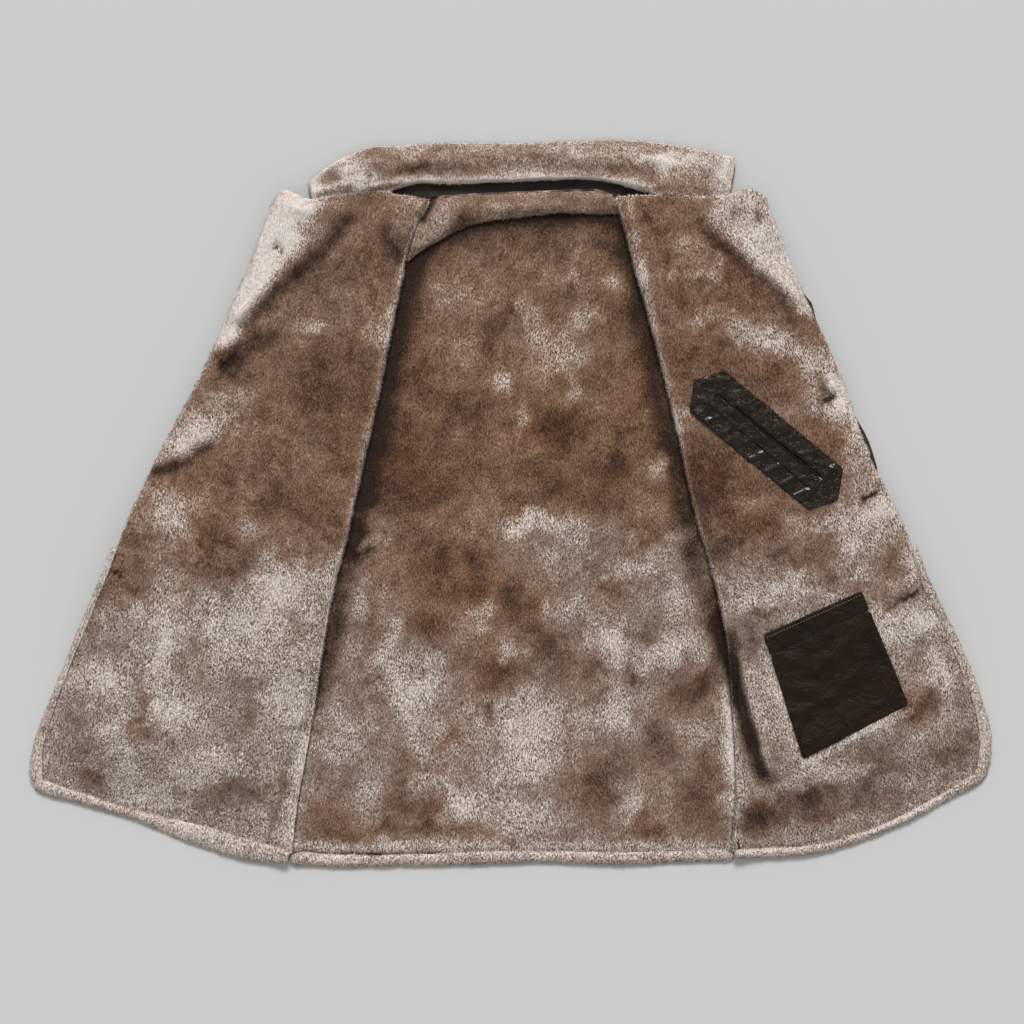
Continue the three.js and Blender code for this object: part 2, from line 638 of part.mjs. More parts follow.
// ---------------------------------------------------------------- collar and stand
// The top edge of a front, where the collar is sewn to it.
function neckline(side, x) {
  const reach = frontPoint(side, 0, 1).distanceTo(frontPoint(side, 1, 1));
  const line = flapPlaces(reach, 8).map((u) => frontPoint(side, u, 1));
  const distance = (p) => Math.abs(p.x);
  const i = line.findIndex((p) => distance(p) > Math.abs(x));
  if (i < 1) return -Infinity;
  const t = (Math.abs(x) - distance(line[i - 1])) / (distance(line[i]) - distance(line[i - 1]));
  return lerp(line[i - 1].y, line[i].y, t);
}

function collarPoint(s, v) {
  const low = new THREE.Vector2(read(COLLAR, v, 'lowX'), read(COLLAR, v, 'lowY'));
  const top = new THREE.Vector2(read(COLLAR, v, 'topX'), read(COLLAR, v, 'topY'));
  const sewn = smoothstep(Math.abs(low.x - COLLAR_MIDDLE), SEWN_FROM, SEWN_FROM + 25);
  const seam = neckline(low.x < 0 ? 'right' : 'left', low.x) + SEAM_GAP * 2;
  if (sewn > 0 && seam > 0) low.y = Math.max(lerp(low.y, seam, sewn), seam);
  return low.lerp(top, s);
}

// How far the raised fronts lift the collar, less toward its outer edge.
function collarLift(s, v) {
  return Math.max(read(COLLAR, v, 'lift'), 0) * (1 - COLLAR_FALL * s);
}

function collar() {
  const upper = [];
  const lower = [];
  for (const v of roundedSteps(20, COLLAR_LENGTH)) {
    const share = roundOff(Math.min(v, 1 - v) * COLLAR_LENGTH, COLLAR_END_WALL);
    upper.push(COLLAR_SECTION.map((row) => {
      const p = collarPoint(row.at, v);
      const pile = row.under + (row.over - row.under) * share;
      return new THREE.Vector3(p.x, p.y, collarLift(row.at, v) + pile);
    }));
    lower.push(COLLAR_SECTION.map((row) => {
      const p = collarPoint(row.at, v);
      return new THREE.Vector3(p.x, p.y, collarLift(row.at, v) + row.under);
    }));
  }
  return slab(upper, lower);
}

function underCollar() {
  const upper = [];
  const lower = [];
  for (const v of steps(14)) {
    const low = collarPoint(0, v);
    const top = collarPoint(1, v);
    const up = top.clone().sub(low).normalize();
    const sideways = new THREE.Vector2((v - 0.5) * 2 * UNDER_COLLAR_REACH.ends, 0);
    const overSlit = smoothstep(v, 0.29, 0.36) * (1 - smoothstep(v, 0.8, 0.87));
    const slit = overSlit * UNDER_COLLAR_REACH.slit;
    const reach = UNDER_COLLAR_REACH.low * Math.min(1, 4 * v, 4 * (1 - v)) + slit;
    low.addScaledVector(up, -reach).add(sideways);
    top.addScaledVector(up, -UNDER_COLLAR_REACH.top).add(sideways);
    const across = steps(3).map((s) => {
      const p = low.clone().lerp(top, s);
      return new THREE.Vector3(p.x, p.y, collarLift(s, v));
    });
    lower.push(across);
    upper.push(across.map((p) => new THREE.Vector3(p.x, p.y, p.z + THIN_LEATHER)));
  }
  return slab(upper, lower);
}

function collarStand() {
  const upper = [];
  const lower = [];
  for (const v of roundedSteps(13, STAND_LENGTH)) {
    const share = roundOff(Math.min(v, 1 - v) * STAND_LENGTH);
    const low = new THREE.Vector2(read(STAND, v, 'lowX'), read(STAND, v, 'lowY'));
    const top = new THREE.Vector2(read(STAND, v, 'topX'), read(STAND, v, 'topY'));
    const pile = [];
    const leather = [];
    for (const row of STAND_SECTION) {
      const p = low.clone().lerp(top, row.at);
      const across = p.x - bodySide('right', BODY_TOP);
      const u = clamp(across / (bodySide('left', BODY_TOP) - bodySide('right', BODY_TOP)), 0, 1);
      const clear = backPoint(u, 1).y + STAND_CLEAR;
      const off = smoothstep(p.y, clear, clear + STAND_DROP);
      const under = lerp(WALL + SEAM_GAP, THIN_LEATHER + SEAM_GAP, off);
      leather.push(new THREE.Vector3(p.x, p.y, under));
      pile.push(new THREE.Vector3(p.x, p.y, under + row.over * share));
    }
    upper.push(pile);
    lower.push(leather);
  }
  return slab(upper, lower);
}

// ---------------------------------------------------------------- pockets and buttons
// A leather patch over a panel, from a grid of places on it.
function patch(panel, grid, lift, thickness) {
  const lower = grid.map((row) => row.map((p) => new THREE.Vector3(
    p.x,
    p.y,
    heightOf(panel, p.x, p.y) + lift,
  )));
  const upper = lower.map((row) => row.map((p) => new THREE.Vector3(p.x, p.y, p.z + thickness)));
  return slab(upper, lower);
}

function weltPlace(along, across) {
  const turn = degToRad(WELT_PATCH.turn);
  const offset = new THREE.Vector2(along, across).rotateAround(new THREE.Vector2(), turn);
  return offset.add(new THREE.Vector2(WELT_PATCH.x, WELT_PATCH.y));
}

function weltPatchGrid() {
  const { halfLength, tip, halfWidth } = WELT_PATCH;
  return steps(4).map((row) => {
    const across = lerp(-halfWidth, halfWidth, row);
    const end = halfLength + tip * (1 - Math.abs(across) / halfWidth);
    return steps(12).map((column) => weltPlace(lerp(-end, end, column), across));
  });
}

function weltLipGrid() {
  return steps(2).map((row) => steps(12).map((column) => weltPlace(
    lerp(-WELT_LIP.halfLength, WELT_LIP.halfLength, column),
    lerp(WELT_LIP.from, WELT_LIP.to, row),
  )));
}

function pocketGrid(from, to, rowCount) {
  const { topRight, topLeft, bottomLeft, bottomRight } = PATCH_POCKET;
  return steps(rowCount).map((row) => {
    const down = lerp(from, to, row);
    const inner = new THREE.Vector2(...topRight).lerp(new THREE.Vector2(...bottomRight), down);
    const outer = new THREE.Vector2(...topLeft).lerp(new THREE.Vector2(...bottomLeft), down);
    return steps(5).map((column) => inner.clone().lerp(outer, column));
  });
}

function button(panel, x, y) {
  const around = steps(16).map((t) => t * 2 * Math.PI);
  const heights = [0.5, 1].flatMap((share) => around.map((angle) => heightOf(
    panel,
    x + BUTTON_RADIUS * share * Math.cos(angle),
    y + BUTTON_RADIUS * share * Math.sin(angle),
    true,
  )));
  const top = Math.min(...heights) - SEAM_GAP;
  const profile = [
    [0, 0],
    [BUTTON_RADIUS - BUTTON_RIM.inset, 0],
    [BUTTON_RADIUS, BUTTON_RIM.from],
    [BUTTON_RADIUS, BUTTON_RIM.to],
    [BUTTON_RADIUS - BUTTON_RIM.inset, BUTTON_HEIGHT],
    [0, BUTTON_HEIGHT],
  ].map(([r, z]) => new THREE.Vector2(r, z));
  const disc = new THREE.LatheGeometry(profile, 14);
  disc.rotateX(Math.PI / 2);
  disc.translate(x, y, top - BUTTON_HEIGHT);
  return disc;
}

// ---------------------------------------------------------------- the coat
const wasm = await Module();
wasm.setup();

addPiece('back', back(), PILE_COLOUR, 0.95);
addPiece('sleeve_right', sleeve('right', SLEEVE_RIGHT, wasm), LEATHER_COLOUR, 0.5);
addPiece('sleeve_left', sleeve('left', SLEEVE_LEFT, wasm), LEATHER_COLOUR, 0.5);
const frontRight = addPiece('front_right', front('right'), PILE_COLOUR, 0.95);
const frontLeft = addPiece('front_left', front('left'), PILE_COLOUR, 0.95);
addPiece('hem_roll_back', backHemRoll(), PILE_LIGHT, 0.95);
addPiece('edge_roll_right', frontRoll('right'), PILE_LIGHT, 0.95);
addPiece('edge_roll_left', frontRoll('left'), PILE_LIGHT, 0.95);
addPiece('collar_stand', collarStand(), PILE_COLOUR, 0.95);
addPiece('collar', collar(), PILE_LIGHT, 0.95);
addPiece('under_collar', underCollar(), LEATHER_COLOUR, 0.5);

const weltPatch = addPiece(
  'welt_patch',
  patch(frontLeft, weltPatchGrid(), PATCH_LIFT, LEATHER),
  LEATHER_COLOUR,
  0.4,
);
addPiece('welt_lip', patch(weltPatch, weltLipGrid(), PATCH_LIFT, WELT_LIP.thickness), LEATHER_COLOUR, 0.4);
const { band, bandThickness } = PATCH_POCKET;
addPiece(
  'patch_pocket',
  patch(frontLeft, pocketGrid(band + BAND_SEAM, 1, 5), PATCH_LIFT, LEATHER),
  LEATHER_COLOUR,
  0.4,
);
addPiece(
  'patch_pocket_band',
  patch(frontLeft, pocketGrid(0, band, 1), PATCH_LIFT, bandThickness),
  LEATHER_COLOUR,
  0.4,
);
BUTTON_PLACES.forEach(({ x, y }, i) => {
  addPiece(`button_${i + 1}`, button(frontRight, x, y), HORN_COLOUR, 0.3);
});

// The middle of the coat's outline is the origin.
const middle = new THREE.Box3().setFromObject(coat).getCenter(new THREE.Vector3());
coat.position.set(-middle.x, -middle.y, 0);

export default coat;
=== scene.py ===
"""The looks of a hip-length shearling coat, laid open on its back with its lining up."""

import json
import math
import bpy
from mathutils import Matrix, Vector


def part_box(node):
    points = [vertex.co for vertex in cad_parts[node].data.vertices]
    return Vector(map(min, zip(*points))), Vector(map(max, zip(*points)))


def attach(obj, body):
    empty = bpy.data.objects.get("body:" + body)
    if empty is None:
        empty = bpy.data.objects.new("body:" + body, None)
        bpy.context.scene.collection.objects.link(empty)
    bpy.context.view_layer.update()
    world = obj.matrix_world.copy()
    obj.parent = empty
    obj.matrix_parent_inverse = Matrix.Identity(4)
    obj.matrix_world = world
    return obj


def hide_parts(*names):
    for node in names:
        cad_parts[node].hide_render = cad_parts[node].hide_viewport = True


bl_info = {
    "name": "Shearling coat",
    "version": (1, 0, 0),
    "blender": (4, 5, 0),
    "location": "3D View > Sidebar > Coat",
    "description": "Pile, leather, stitching and a studio around the coat's packed part",
    "category": "Object",
}

import bmesh
import bpy
import numpy as np
from bpy.props import FloatProperty, FloatVectorProperty, IntProperty, PointerProperty
from mathutils import Vector
from mathutils.bvhtree import BVHTree

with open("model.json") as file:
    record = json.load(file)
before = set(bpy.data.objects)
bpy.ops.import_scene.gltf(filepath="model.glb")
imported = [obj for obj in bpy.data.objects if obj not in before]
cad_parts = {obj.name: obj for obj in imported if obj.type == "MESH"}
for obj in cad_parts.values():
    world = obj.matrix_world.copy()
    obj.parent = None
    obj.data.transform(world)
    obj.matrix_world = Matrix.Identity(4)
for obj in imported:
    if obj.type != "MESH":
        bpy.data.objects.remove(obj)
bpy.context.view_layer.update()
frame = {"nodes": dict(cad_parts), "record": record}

# Tables are in millimetres, from the middle of the coat. The right panels are the wearer's.


def table(columns, rows):
    """Rows of numbers as dictionaries with named columns."""
    return [dict(zip(columns, row, strict=True)) for row in rows]


# Patches where the nap is brushed light or lies dark, painted into the pile's colour: partly its own
# tone, partly a painted sheen where the nap faces the light and a painted shade where it lies away
# from it. The middle, the two half-sizes, the turn in degrees, how much lighter it is, and how rusty.
NAP_COLUMNS = ("x", "y", "width", "height", "turn", "light", "rust")
NAP_RIGHT = table(NAP_COLUMNS, [
    (-245, 215, 25, 10, 5, 0.3, 0), (-155, 205, 12, 15, 0, 0.38, 0),
    (-325, 130, 30, 20, 20, 0.16, 0), (-375, 85, 35, 18, 20, 0.3, 0),
    (-410, -10, 30, 22, 0, 0.32, 0), (-310, -20, 16, 12, 0, 0.22, 0),
    (-280, -90, 30, 32, 0, 0.34, 0), (-405, -75, 25, 35, 0, 0.2, 0),
    (-325, -145, 45, 30, 0, 0.24, 0), (-420, -165, 18, 55, 0, 0.32, 0),
    (-400, -250, 30, 20, 0, 0.28, 0), (-280, -225, 25, 40, 0, 0.26, 0),
    (-350, -315, 55, 18, -10, 0.24, 0), (-485, -210, 22, 14, 0, 0.22, 0),
    (-460, -295, 18, 42, -5, 0.24, 0), (-425, -355, 60, 14, -15, 0.24, 0),
    (-255, -270, 16, 50, 10, 0.16, 0), (-310, 80, 90, 70, 0, 0.06, 0),
    (-225, 155, 70, 40, 10, -0.24, 0.25), (-200, 75, 55, 70, 5, -0.14, 0.2),
    (-330, 165, 35, 16, 30, -0.18, 0.2), (-370, 40, 60, 25, 10, -0.12, 0.15),
    (-350, -35, 32, 15, 0, -0.18, 0.45), (-330, -75, 35, 25, 0, -0.24, 0.1),
    (-260, 0, 50, 22, -10, -0.24, 0.45), (-450, -100, 30, 25, 0, -0.22, 0.1),
    (-380, -175, 12, 50, 0, -0.22, 0.1), (-260, -145, 18, 22, 0, -0.28, 0.15),
    (-305, -240, 26, 26, 0, -0.3, 0.15), (-435, -250, 14, 40, -10, -0.32, 0.65),
    (-515, -270, 20, 40, 0, -0.24, 0.1), (-500, -330, 26, 12, -10, -0.34, 0.6),
    (-335, -345, 60, 20, 0, -0.26, 0.15), (-150, 300, 45, 18, 25, -0.2, 0.15),
])
NAP_BACK = table(NAP_COLUMNS, [
    (0, 260, 150, 80, 0, 0.02, -0.35), (-70, 250, 22, 12, 0, 0.2, 0),
    (-60, 190, 22, 12, -25, 0.24, 0), (15, 230, 16, 10, 0, 0.26, 0),
    (25, 195, 26, 24, 0, 0.32, 0), (30, 155, 30, 20, 0, 0.2, 0),
    (65, 175, 22, 30, 0, 0.38, 0), (85, 220, 18, 20, -30, 0.32, 0),
    (115, 265, 22, 10, 0, 0.34, 0), (75, 280, 6, 30, 0, 0.22, 0),
    (-10, 140, 11, 18, 20, 0.52, 0), (80, 135, 14, 10, 0, 0.26, 0),
    (15, 105, 11, 18, 20, 0.4, 0), (175, 50, 16, 14, -30, 0.42, 0),
    (-165, -5, 24, 14, 0, 0.22, 0), (-175, -55, 14, 7, 30, 0.38, 0),
    (20, -20, 26, 12, -10, 0.44, 0), (-145, -170, 14, 50, 0, 0.3, 0),
    (-90, -180, 18, 16, 0, 0.42, 0), (-120, -225, 30, 25, 0, 0.42, 0),
    (-35, -135, 14, 12, 0, 0.26, 0), (0, -175, 14, 8, -20, 0.34, 0),
    (-210, -265, 35, 40, 0, 0.24, 0), (-190, -115, 18, 20, 0, 0.2, 0),
    (-165, -340, 24, 40, 0, 0.2, 0), (-55, -355, 28, 18, -10, 0.4, 0),
    (-115, -280, 22, 35, 0, 0.22, 0), (20, -260, 46, 44, 0, 0.38, 0),
    (60, -30, 40, 12, -5, 0.24, 0), (200, -35, 26, 14, 0, 0.26, 0),
    (145, -75, 36, 12, 15, 0.22, 0), (195, -110, 36, 36, 0, 0.28, 0),
    (55, -125, 32, 20, 0, 0.22, 0), (125, -160, 25, 22, 0, 0.38, 0),
    (185, -180, 50, 18, 15, 0.4, 0), (120, -255, 36, 32, 0, 0.36, 0),
    (5, -320, 36, 25, 0, 0.28, 0), (145, -365, 16, 20, 0, 0.28, 0),
    (20, -375, 38, 18, 0, 0.3, 0), (210, -275, 22, 16, 0, 0.18, 0),
    (265, -285, 11, 85, 0, 0.34, 0),
    (-110, 150, 18, 14, 0, -0.28, 0.4), (-35, 190, 14, 14, 0, -0.22, 0.4),
    (0, 225, 8, 12, 0, -0.28, 0.5), (0, 125, 11, 18, 10, -0.24, 0.3),
    (-145, 60, 28, 40, 0, -0.22, 0.35), (-80, 15, 52, 28, 0, -0.2, 0.3),
    (50, 95, 40, 30, 0, -0.26, 0.5), (125, 40, 24, 16, 0, -0.24, 0.2),
    (-90, -75, 65, 48, 0, -0.2, 0.8), (-50, -100, 40, 45, 0, -0.16, 0.7),
    (-105, -145, 28, 18, 15, -0.24, 0.8), (-170, -125, 14, 50, 0, -0.2, 0.1),
    (5, -120, 32, 34, 0, -0.26, 0.8), (-20, -200, 38, 22, 0, -0.3, 0.7),
    (-75, -270, 16, 12, 0, -0.2, 0.4), (-135, -320, 18, 42, 0, -0.22, 0.15),
    (-115, -365, 30, 20, 0, -0.3, 0.4), (-145, -395, 55, 8, 0, -0.34, 0.7),
    (-220, -380, 35, 20, 0, -0.26, 0.45), (-60, -395, 50, 7, 0, -0.24, 0.3),
    (160, -35, 11, 14, -20, -0.3, 0.2), (45, -170, 32, 24, 0, -0.28, 0.2),
    (110, -105, 16, 12, 15, -0.28, 0.5), (100, -190, 18, 12, 0, -0.24, 0.1),
    (145, -195, 5, 22, 0, -0.24, 0.1), (215, -225, 32, 12, 30, -0.42, 0.5),
    (235, -210, 10, 12, 0, -0.24, 0.6), (175, -285, 32, 28, 20, -0.26, 0.2),
    (110, -345, 20, 26, 10, -0.3, 0.3), (170, -385, 18, 12, 0, -0.3, 0.6),
    (225, -350, 24, 30, 0, -0.28, 0.3), (-110, 290, 48, 26, 0, -0.08, 0.3),
    (60, 40, 72, 48, 0, -0.08, 0.3), (155, 150, 36, 72, 0, -0.06, 0.3),
])
NAP_LEFT = table(NAP_COLUMNS, [
    (200, 305, 18, 8, 0, 0.22, 0), (190, 265, 5, 14, 0, 0.3, 0),
    (240, 285, 7, 14, -20, 0.22, 0), (150, 280, 6, 24, 12, 0.32, 0),
    (300, 205, 36, 10, 0, 0.17, 0), (225, 215, 42, 8, 0, 0.13, 0),
    (325, 190, 36, 12, -10, 0.24, 0), (360, 165, 11, 16, 0, 0.26, 0),
    (390, 130, 15, 20, 10, 0.4, 0), (410, 95, 14, 26, 25, 0.36, 0),
    (205, 95, 12, 12, 0, 0.32, 0), (440, -10, 26, 16, 0, 0.34, 0),
    (295, 0, 16, 10, 0, 0.26, 0), (380, -15, 42, 12, 10, 0.28, 0),
    (410, -55, 24, 26, 0, 0.46, 0), (480, -70, 10, 24, 20, 0.34, 0),
    (310, -100, 48, 12, 14, 0.26, 0), (455, -145, 28, 17, 0, 0.26, 0),
    (490, -135, 14, 17, 0, 0.22, 0), (510, -210, 14, 38, 18, 0.32, 0),
    (315, -225, 24, 38, 15, 0.18, 0), (375, -315, 52, 10, 14, 0.26, 0),
    (460, -330, 48, 14, 18, 0.26, 0), (400, -345, 30, 12, 14, 0.18, 0),
    (335, -360, 22, 10, 0, 0.2, 0), (540, -335, 18, 14, 0, 0.24, 0),
    (280, -235, 12, 48, 12, 0.1, 0), (320, -40, 95, 55, 0, 0.05, -0.3),
    (385, -350, 95, 20, 15, -0.46, 0), (300, -365, 30, 22, 0, -0.32, 0),
    (225, 325, 40, 12, 0, -0.2, 0.2), (245, 305, 14, 14, -30, -0.3, 0.2),
    (270, 265, 24, 14, -35, -0.28, 0.1), (320, 240, 32, 14, -40, -0.26, 0.1),
    (180, 295, 14, 12, 0, -0.2, 0.4), (165, 330, 16, 8, 0, -0.22, 0.4),
    (215, 245, 36, 20, 0, -0.18, 0.4), (220, 170, 42, 20, 0, -0.18, 0.3),
    (320, 150, 32, 20, -15, -0.24, 0.5), (365, 140, 7, 16, 0, -0.3, 0.1),
    (235, 30, 42, 32, 20, -0.32, 0.6), (385, 85, 16, 16, 0, -0.2, 0.1),
    (255, -15, 20, 16, 0, -0.28, 0.6), (295, -35, 24, 14, 0, -0.24, 0.6),
    (260, -50, 22, 14, 0, -0.16, 0.2), (295, -120, 22, 12, 0, -0.18, 0.1),
    (280, -165, 16, 24, 0, -0.2, 0.1), (385, -90, 30, 8, 18, -0.22, 0.1),
    (455, -70, 14, 26, 0, -0.26, 0.1), (485, -170, 26, 18, 0, -0.24, 0.1),
    (480, -240, 24, 16, 10, -0.4, 0.75), (500, -225, 10, 14, 0, -0.2, 0.1),
    (310, -245, 16, 24, 15, -0.22, 0.2), (320, -315, 24, 12, 0, -0.22, 0.1),
    (360, -345, 26, 16, 10, -0.26, 0.15), (310, -350, 18, 14, 0, -0.22, 0.2),
    (370, -375, 14, 8, 0, -0.3, 0.3), (445, -290, 36, 12, 14, -0.18, 0.1),
    (525, -295, 22, 16, 0, -0.2, 0.1), (290, -370, 16, 24, 0, -0.28, 0.6),
    (370, 75, 24, 30, -30, -0.06, 0.4),
])
NAP_COLLAR = table(NAP_COLUMNS, [
    (-225, 375, 14, 10, 20, 0.36, 0), (-180, 390, 18, 7, -15, 0.4, 0),
    (-195, 410, 20, 7, 0, 0.24, 0), (175, 410, 24, 6, -10, 0.36, 0),
    (255, 395, 14, 24, 0, 0.48, 0), (165, 400, 55, 16, 0, 0.13, 0), (60, 425, 70, 6, 0, 0.14, 0),
    (225, 418, 36, 7, 0, 0.28, 0), (-210, 390, 14, 8, 30, -0.26, 0.2),
    (-105, 410, 24, 8, 10, -0.26, 0.4), (10, 410, 50, 6, 0, -0.24, 0.35),
    (140, 405, 16, 6, 0, -0.24, 0.3), (170, 385, 22, 8, 0, -0.26, 0.2),
    (-155, 375, 30, 7, 15, -0.2, 0.3), (215, 375, 18, 7, 0, -0.12, 0.3),
])

# Creases: the points that each runs through, its half-width, its rise (a trough is below zero),
# and how much lighter the pile is painted along it: a painted highlight on ridges and edges, and below
# zero a painted shade in troughs, valleys and slits.
CREASE_COLUMNS = ("path", "width", "rise", "light")
CREASES_RIGHT = table(CREASE_COLUMNS, [
    (((-190, 338), (-218, 304), (-242, 279), (-272, 253), (-299, 229), (-320, 208)), 7.5, -5, -0.2),
    (((-206, 346), (-232, 314), (-258, 287), (-290, 257), (-324, 224)), 10, 6, 0.06),
    (((-430, 36), (-408, 39), (-356, 68)), 6, -3.8, -0.3),
    (((-418, 56), (-362, 86)), 14, 4, 0.2),
    (((-340, 166), (-318, 186), (-270, 206)), 10.5, -3, -0.2),
    (((-344, 186), (-326, 198)), 9, 3, 0.12),
    (((-278, 304), (-276, 298)), 7, -3, -0.2),
    (((-281, 305), (-274, 300)), 2.5, -2, -0.7),
    (((-344, 163), (-331, 171)), 3, -3, -0.65),
    (((-252, 328), (-246, 322)), 8, -2.5, -0.2),
    (((-217, -118), (-246, -262), (-266, -316), (-291, -407)), 5, -1.7, -0.14),
    (((-150, 316), (-136, 290)), 9, -2.5, -0.2),
    (((-475, -81), (-466, -85)), 1.6, -2, -0.62),
    (((-250, -272), (-258, -340), (-266, -412)), 10, -5.5, 0.14),
    # A painted highlight along the front's folded inner edge.
    (((-106, 360), (-139, 244), (-169, 100), (-196, -44), (-225, -164), (-252, -266)), 5, 0.6, 0.15),
    (((-120, 354), (-138, 316)), 12, 2, 0.14),
    (((-262, 352), (-242, 346), (-226, 356)), 6, 2.5, 0.2),
    (((-446, -63), (-442, -70)), 5, -2, -0.2),
    (((-210, 150), (-190, 60)), 30, 1.5, 0),
    (((-330, -60), (-345, -200)), 34, 1.8, 0),
    (((-420, -120), (-428, -260)), 30, 1.6, 0),
])
CREASES_BACK = table(CREASE_COLUMNS, [
    (((-184, -63), (-168, -56)), 5, -3, -0.3),
    (((-182, -53), (-166, -47)), 6, 2.5, 0.1),
    (((-28, -243), (-28, -257)), 5, -2.5, -0.3),
    (((137, -154), (172, -163)), 5, -1.6, -0.2),
    (((143, -177), (146, -212)), 5, -1.6, -0.2),
    (((253, -194), (260, -236), (266, -300), (267, -440)), 10, 3, 0.2),
    (((-238, -236), (-252, -320), (-263, -440)), 10, 2.5, 0.16),
    (((250, -140), (256, -168), (265, -204), (273, -236)), 8, -4, -0.5),
    (((-66, 268), (-60, 225)), 7, 1.2, 0.05),
    (((77, 290), (72, 240)), 6, -1.2, -0.06),
    (((-120, -290), (-110, -350)), 22, 1.4, 0),
    (((60, -250), (75, -360)), 26, 1.4, 0),
    (((-20, 120), (10, 40)), 26, 1.2, 0),
    # A painted highlight along the hem's top, and a painted shade in the groove under it.
    (((-262, -411), (262, -411)), 7, 0.6, 0.22),
    (((-262, -421), (262, -421)), 2.5, -1.6, -0.5),
    # Painted shadows with no rise: beside the two fronts' folds, and under the neck stand's lower edge.
    (((-95, 368), (-128, 244), (-158, 100), (-185, -44)), 17, 0, -0.36),
    (((-187, -44), (-216, -164), (-244, -266)), 11, 0, -0.3),
    (((129, 364), (151, 244), (181, 112), (207, -20), (234, -116), (259, -212)), 15, 0, -0.3),
    (((-128, 284), (-86, 316), (-26, 338), (58, 346), (124, 344)), 10, 0, -0.3),
])
CREASES_LEFT = table(CREASE_COLUMNS, [
    (((226, 332), (244, 305), (272, 284), (300, 261), (332, 234)), 7, -4, -0.1),
    (((240, 340), (257, 313), (284, 293), (312, 269), (342, 242)), 9, 5, 0.1),
    (((270, 347), (266, 341)), 7, -3, -0.3),
    (((293, 346), (296, 337)), 5.5, -3.5, -0.4),
    (((369, 122), (384, 130)), 1.9, -3, -0.75),
    (((420, 6), (435, 13)), 1.8, -3, -0.75),
    (((470, -111), (484, -104)), 1.8, -3, -0.75),
    (((366, 150), (369, 136)), 6, -2, -0.24),
    (((378, 160), (398, 112), (420, 54), (444, -8), (468, -68), (492, -128)), 34, 1, 0.2),
    (((236, 232), (290, 200), (346, 164), (384, 128)), 22, 2, 0.1),
    (((168, 318), (186, 262)), 14, 1.5, 0.02), (((226, 274), (256, 258)), 12, 2, 0.06),
    (((376, 143), (394, 136)), 6, 2.5, 0.16),
    (((369, 121), (391, 133)), 9, -2, -0.12),
    (((417, 4), (440, 15)), 9, -2, -0.12),
    (((466, -113), (489, -101)), 9, -2, -0.12),
    (((466, -113), (446, -126)), 4, -2, -0.3),
    (((362, 128), (356, 112)), 9, 3, 0.2),
    (((372, 110), (388, 104)), 8, 2.4, 0.1),
    (((208, 262), (300, 240)), 30, 1.5, 0),
    (((300, 20), (250, -90)), 30, 1.6, 0),
    (((420, -260), (500, -230)), 28, 1.6, 0),
    # A painted shade in the valley beside the patch pocket.
    (((256, -160), (265, -200), (273, -236), (282, -264), (290, -288)), 9, -6, -0.58),
    (((264, -188), (270, -221), (279, -260), (287, -296), (296, -318)), 9, 0.6, -0.36),
    (((286, -284), (296, -312), (306, -336)), 7, -3, -0.22),
    (((270, -186), (284, -236), (294, -276), (306, -318)), 6, 4, 0.16),
    (((268, -222), (269, -300), (269, -412)), 10, -7, 0.16),
    # A painted highlight along the front's folded inner edge.
    (((140, 358), (163, 244), (193, 112), (219, -20), (246, -116), (268, -200)), 5, 0.6, 0.13),
    # A painted highlight along the patch pocket's lower edge.
    (((347, -309), (410, -277), (475, -245)), 4, 1.2, 0.3),
    (((296, -158), (340, -305)), 5, 0.8, 0.1),
])
CREASES_COLLAR = table(CREASE_COLUMNS, [
    (((-218, 394), (-206, 388)), 9, -4.5, -0.26),
    (((-246, 366), (-214, 376), (-188, 383), (-166, 392)), 4.5, 3, 0.3),
    (((-222, 392), (-196, 396), (-176, 404)), 7, 3, 0.2),
    (((-168, 384), (-120, 392), (-60, 394)), 10, -2, -0.08),
    (((-160, 418), (-128, 402)), 11, -1.6, -0.1),
    (((-168, 388), (-120, 397), (-40, 399), (60, 400), (140, 397), (172, 390)), 6, -2.4, -0.05),
    (((-150, 411), (-60, 416), (60, 417), (160, 412), (230, 404)), 11, 2.6, 0.04),
    (((120, 398), (165, 386)), 9, -2, -0.16),
    (((180, 410), (235, 400)), 11, 1.6, 0.12),
    # A painted highlight along the collar's lower edge, and one round its left end.
    (((-182, 375), (-134, 385), (-62, 387), (58, 388), (136, 385), (166, 378)), 4.5, 2.2, 0.34),
    (((-242, 374), (-226, 400), (-196, 424)), 7, 1.5, 0.3),
])
CREASES_STAND = table(CREASE_COLUMNS, [
    (((-89, 373), (-100, 352), (-107, 338)), 5, -4, -0.45),
    (((-104, 312), (-70, 352)), 12, 2.5, 0.1), (((-86, 300), (-54, 340)), 7, -2.5, -0.16),
    (((-40, 352), (60, 356)), 7, 2, 0.06), (((60, 362), (110, 356)), 6, -1.5, -0.08),
])

# Bands of even tone with firm edges: the lapels, whose pile is brushed the other way and is painted
# pale there, a painted sheen.
BAND_COLUMNS = ("path", "width", "tone")
LAPEL_RIGHT = table(BAND_COLUMNS, [
    (((-262, 352), (-278, 318)), 30, 1.06), (((-279, 318), (-303, 270), (-330, 232), (-345, 208)), 22, 1.1),
])
LAPEL_LEFT = table(BAND_COLUMNS, [
    (((272, 352), (296, 316)), 34, 0.8), (((296, 314), (326, 276), (352, 242)), 19, 0.86),
])
NONE = []
